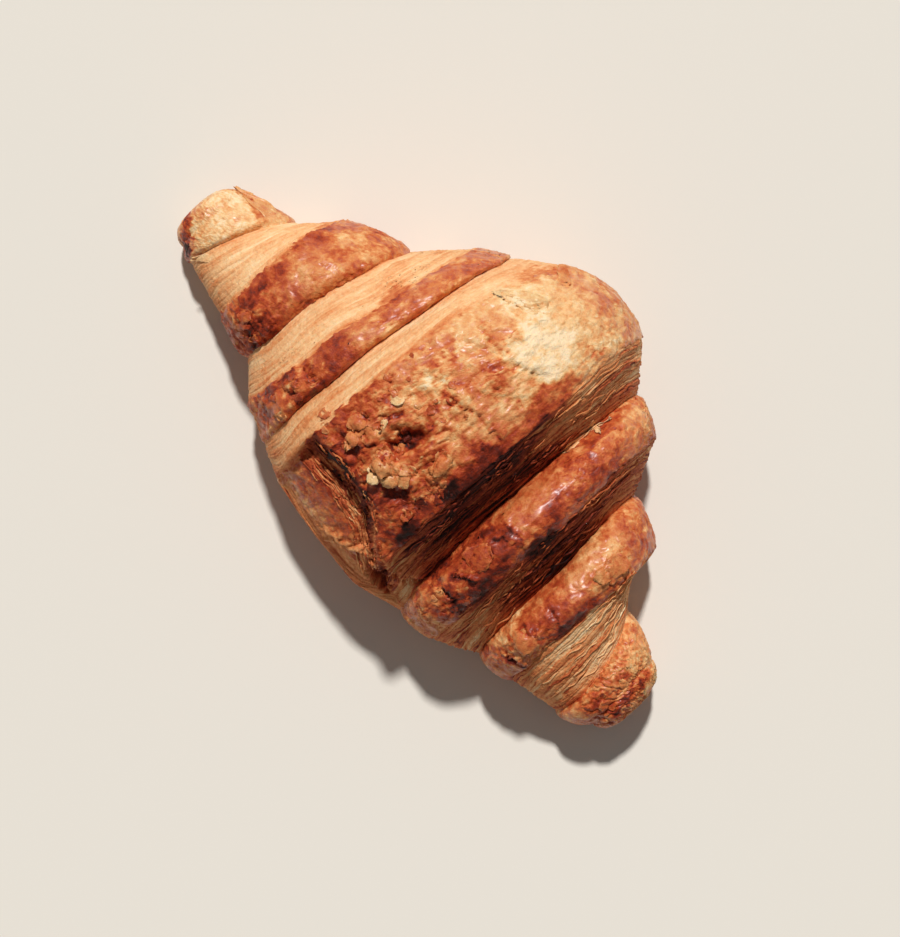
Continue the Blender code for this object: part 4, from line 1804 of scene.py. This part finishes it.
                Fold(((-4.4, 2.6), (-1.6, 3.8), (0.2, 6.6)), 0.4, 0.4, 0.3, 2.5),
                Fold(((1.2, 3.4), (2.2, -0.6), (1.8, -4.4)), 0.5, 0.4, -0.3, 2.0),
                Fold(((-19.0, 6.6), (-16.4, 3.8), (-14.4, 0.8)), 0.4, 0.4, 0.3, 2.5),
                Fold(((9.8, -28.4), (12, -26.6), (16.6, -25.2), (19.5, -21)), 1.6, 0.9, 0.0),
            ),
            ruffles=(
                Lump(-4, -6, 20, 13, 1.0, 0, 1.2), Lump(-10, 12, 12, 14, 0.4), Lump(-4, 23, 13, 10, 0.55),
                Lump(-2, 44, 14, 14, 0.25),
            ),
            columns=344, crust_pitch=0.31, face_pitch=0.17, flakiness=0.42,
            look=FaceLook(((-28, 0.36), (-15, 0.28), (0, 0.23), (30, 0.21), (50, 0.26))),
            # This face is painted darker from about y -19 to 18, where it lies in shadow: painted shade.
            look_right=FaceLook(
                ((-26, 0.40), (-19, 0.58), (-8, 0.74), (12, 0.84), (18, 0.60), (26, 0.42), (50, 0.34)),
                pitch=0.95, height=0.40, streaks=0.30, gaps=0.34, rough=2.6,
            ),
        )

    def _right_inner(self) -> Turn:
        """The inner turn on the right."""
        return RightTurn(
            "right_inner_turn", self.finish, self.origin, 105,
            browning=(
                (-30, 0.50), (-26, 0.54), (-20, 0.64), (-10, 0.76),
                (0, 0.73), (10, 0.65), (24, 0.65), (34, 0.50), (42, 0.54),
            ),
            spots=(
                # These two are glossier and painted lighter where the sheen falls: the glaze is real, the
                # lighter tone is painted highlight.
                Spot(24.0, 7.5, 3.0, 7.0, Bake.TAN, 0.8, gloss=1.0),
                Spot(25.0, 2.4, 2.8, 1.7, Bake.TAN, 0.6, gloss=1.0),
                Spot(28.5, 8.5, 2.0, 3.6, Bake.CHESTNUT, 0.6),
                Spot(32.2, 2.6, 2.0, 4.6, Bake.BURNT, 0.85, -10),
                Spot(29.4, -11.0, 1.3, 7.0, Bake.BURNT, 0.65, 3),
                Spot(24.0, -9.5, 2.4, 4.0, Bake.RUSSET, 0.6),
                Spot(27.5, -20.2, 3.0, 0.9, Bake.BURNT, 0.6),
                Spot(23.5, -22.5, 1.6, 2.6, Bake.TAN, 0.6),
                Spot(27.5, -23.8, 1.6, 1.6, Bake.MAHOGANY, 0.6),
                Spot(28.5, 35.0, 4.0, 4.0, Bake.TAN, 0.5),
                Spot(24.0, 31.0, 1.6, 3.0, Bake.CHESTNUT, 0.6),
                # Painted shade: the bottom rim darker and warmer, where it lies in shadow.
                Spot(28.0, -29.0, 8.0, 2.2, Bake.RUSSET, 0.6),
            ),
            lumps=(
                Lump(24.5, -1.0, 6.0, 13.0, 1.2),
                Lump(26.4, -14.2, 3.0, 0.9, 0.8, 24, 0.6),
                Lump(24.6, -17.6, 2.2, 1.4, 0.6),
            ),
            folds=(
                Fold(((23.2, -16.0), (25.6, -14.8), (28.6, -13.6)), 0.9, 0.6, 0.4, 2.0),
                Fold(((22.5, -19.6), (25, -20.4), (28.8, -20.0)), 0.7, 0.6, 0.5, 2.5),
                Fold(((20.8, -4.6), (23.4, -5.6), (26.4, -6.2), (28.8, -6.4)), 0.4, 0.5, 0.3, 3.0),
                Fold(((24.2, -4.0), (27.0, -2.2), (30.4, -0.6)), 0.4, 0.4, 0.4, 2.0),
                Fold(((22.4, 0.2), (26, -0.4), (31.2, 0.4)), 0.3, 0.4, 0.3, 2.0),
            ),
            ruffles=(Lump(26, -16, 7, 11, 0.9), Lump(27, 30, 6, 12, 0.5), Lump(31, 4, 3, 10, 0.4)),
            columns=330,
            # This face is painted darker from about y -8 to 18, where it lies in shadow: painted shade.
            look_right=FaceLook(
                ((-28, 0.34), (-20, 0.44), (-8, 0.54), (0, 0.72), (10, 0.72), (18, 0.54), (36, 0.42)),
                pitch=0.85, height=0.36, streaks=0.30, gaps=0.34, rough=2.6,
            ),
            start=R.right_crease_1, crown=R.right_crust_1, edge=R.right_edge_1, crease=R.right_crease_2,
        )

    def _right_outer(self) -> Turn:
        """The outer turn on the right."""
        return RightTurn(
            "right_outer_turn", self.finish, self.origin, 106,
            browning=(
                (-25, 0.50), (-22, 0.58), (-14, 0.60), (-6, 0.66),
                (2, 0.60), (12, 0.54), (20, 0.60), (26, 0.56),
            ),
            spots=(
                # These two are glossier and painted lighter where the sheen falls: the glaze is real, the
                # lighter tone is painted highlight.
                Spot(43.0, 8.0, 2.8, 8.0, Bake.GOLD, 0.8, gloss=1.0),
                Spot(47.6, 11.0, 2.4, 4.4, Bake.TAN, 0.75, gloss=0.5),
                Spot(49.6, -3.5, 1.2, 7.0, Bake.MAHOGANY, 0.8, -4),
                Spot(44.6, -5.5, 2.4, 3.4, Bake.CHESTNUT, 0.6),
                Spot(45.6, -15.4, 2.8, 2.6, Bake.TAN, 0.7, gloss=0.6),
                Spot(46.8, -20.2, 2.6, 0.9, Bake.MAHOGANY, 0.8, 28),
                Spot(43.8, -11.5, 2.4, 2.0, Bake.RUSSET, 0.6),
            ),
            lumps=(Lump(45.4, -15.6, 3.0, 3.2, 1.1, 0, 0.5), Lump(47.2, 9.0, 2.4, 4.6, 0.5, 0, 0.4)),
            folds=(
                Fold(((44.8, 12.5), (45.0, 8.6), (47.4, 8.2), (49.6, 7.0), (50.4, 10.0)), 0.5, 0.4, 0.3, 2.0),
                Fold(((43.0, -19.4), (45.4, -20.6), (48.4, -18.6)), 0.7, 0.6, 0.3, 2.0),
                Fold(((43.0, -6.4), (45.6, -6.6), (48.6, -6.8)), 0.35, 0.4, 0.2, 2.0),
                Fold(((42.0, -12.6), (45.2, -13.0), (48.2, -12.8)), 0.35, 0.4, 0.2, 2.0),
            ),
            ruffles=(Lump(45, -16, 6, 7, 0.7), Lump(48, 10, 4, 8, 0.4)),
            columns=300,
            look_right=FaceLook(
                ((-22, 0.36), (-14, 0.33), (-4, 0.28), (8, 0.26), (20, 0.32)),
                pitch=0.75, height=0.26, streaks=0.22, gaps=0.30, rough=1.7,
            ),
            start=R.right_crease_2, crown=R.right_crust_2, edge=R.right_edge_2, crease=R.right_crease_3,
        )

    def _right_tip(self) -> Turn:
        """The right tip: brown, wrinkled towards its scorched end."""
        return Tip(
            "right_tip", self.finish, self.origin, 107,
            browning=((-21, 0.48), (-14, 0.57), (-6, 0.52), (1, 0.44), (6, 0.42)),
            spots=(
                Spot(70.3, -8.0, 1.3, 5.4, Bake.BURNT, 0.7, 6),
                Spot(67.0, -14.0, 3.0, 2.4, Bake.CHESTNUT, 0.6),
                Spot(64.5, 2.6, 4.0, 2.6, Bake.TAN, 0.6),
                Spot(62.0, -14.0, 0.9, 6.0, Bake.MAHOGANY, 0.7),
                Spot(69.5, -1.0, 2.0, 1.4, Bake.CHESTNUT, 0.6),
            ),
            fans=(Fan(73.0, -3.0, 46, 0.50, 1.5, 17.0, 0.9),),
            ruffles=(Lump(66, -8, 12, 16, 0.2),),
            columns=240, crust_pitch=0.24, flakiness=0.15, wrinkled=0.35,
            end=RIGHT_END, power=2.3, tip=R.right_tip, neck=R.right_neck, crease=R.right_crease_3, left=False,
        )


def main() -> None:
    """Build the croissant and the room round it."""
    logging.basicConfig(level=logging.INFO, format="%(message)s")
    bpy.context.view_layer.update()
    low, high = (np.array(corner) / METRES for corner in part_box(NODE))
    origin = np.array([low[0] - LEFT_END, high[1] - R.middle_crust.high, low[2]])
    Studio(aim=(origin[0] + MIDDLE[0], origin[1] + MIDDLE[1], TAPER_FROM)).build()
    croissant = Croissant(origin)
    turns = croissant.turns()
    with ThreadPoolExecutor() as pool:
        coats = list(pool.map(lambda turn: turn.form(), turns))
    for turn, coat in zip(turns, coats):
        turn.build(coat)
    top = Top([turn.skin for turn in turns], coats)
    croissant.flakes(top).build()
    croissant.strands(top).build()


if __name__ == "__main__":
    main()
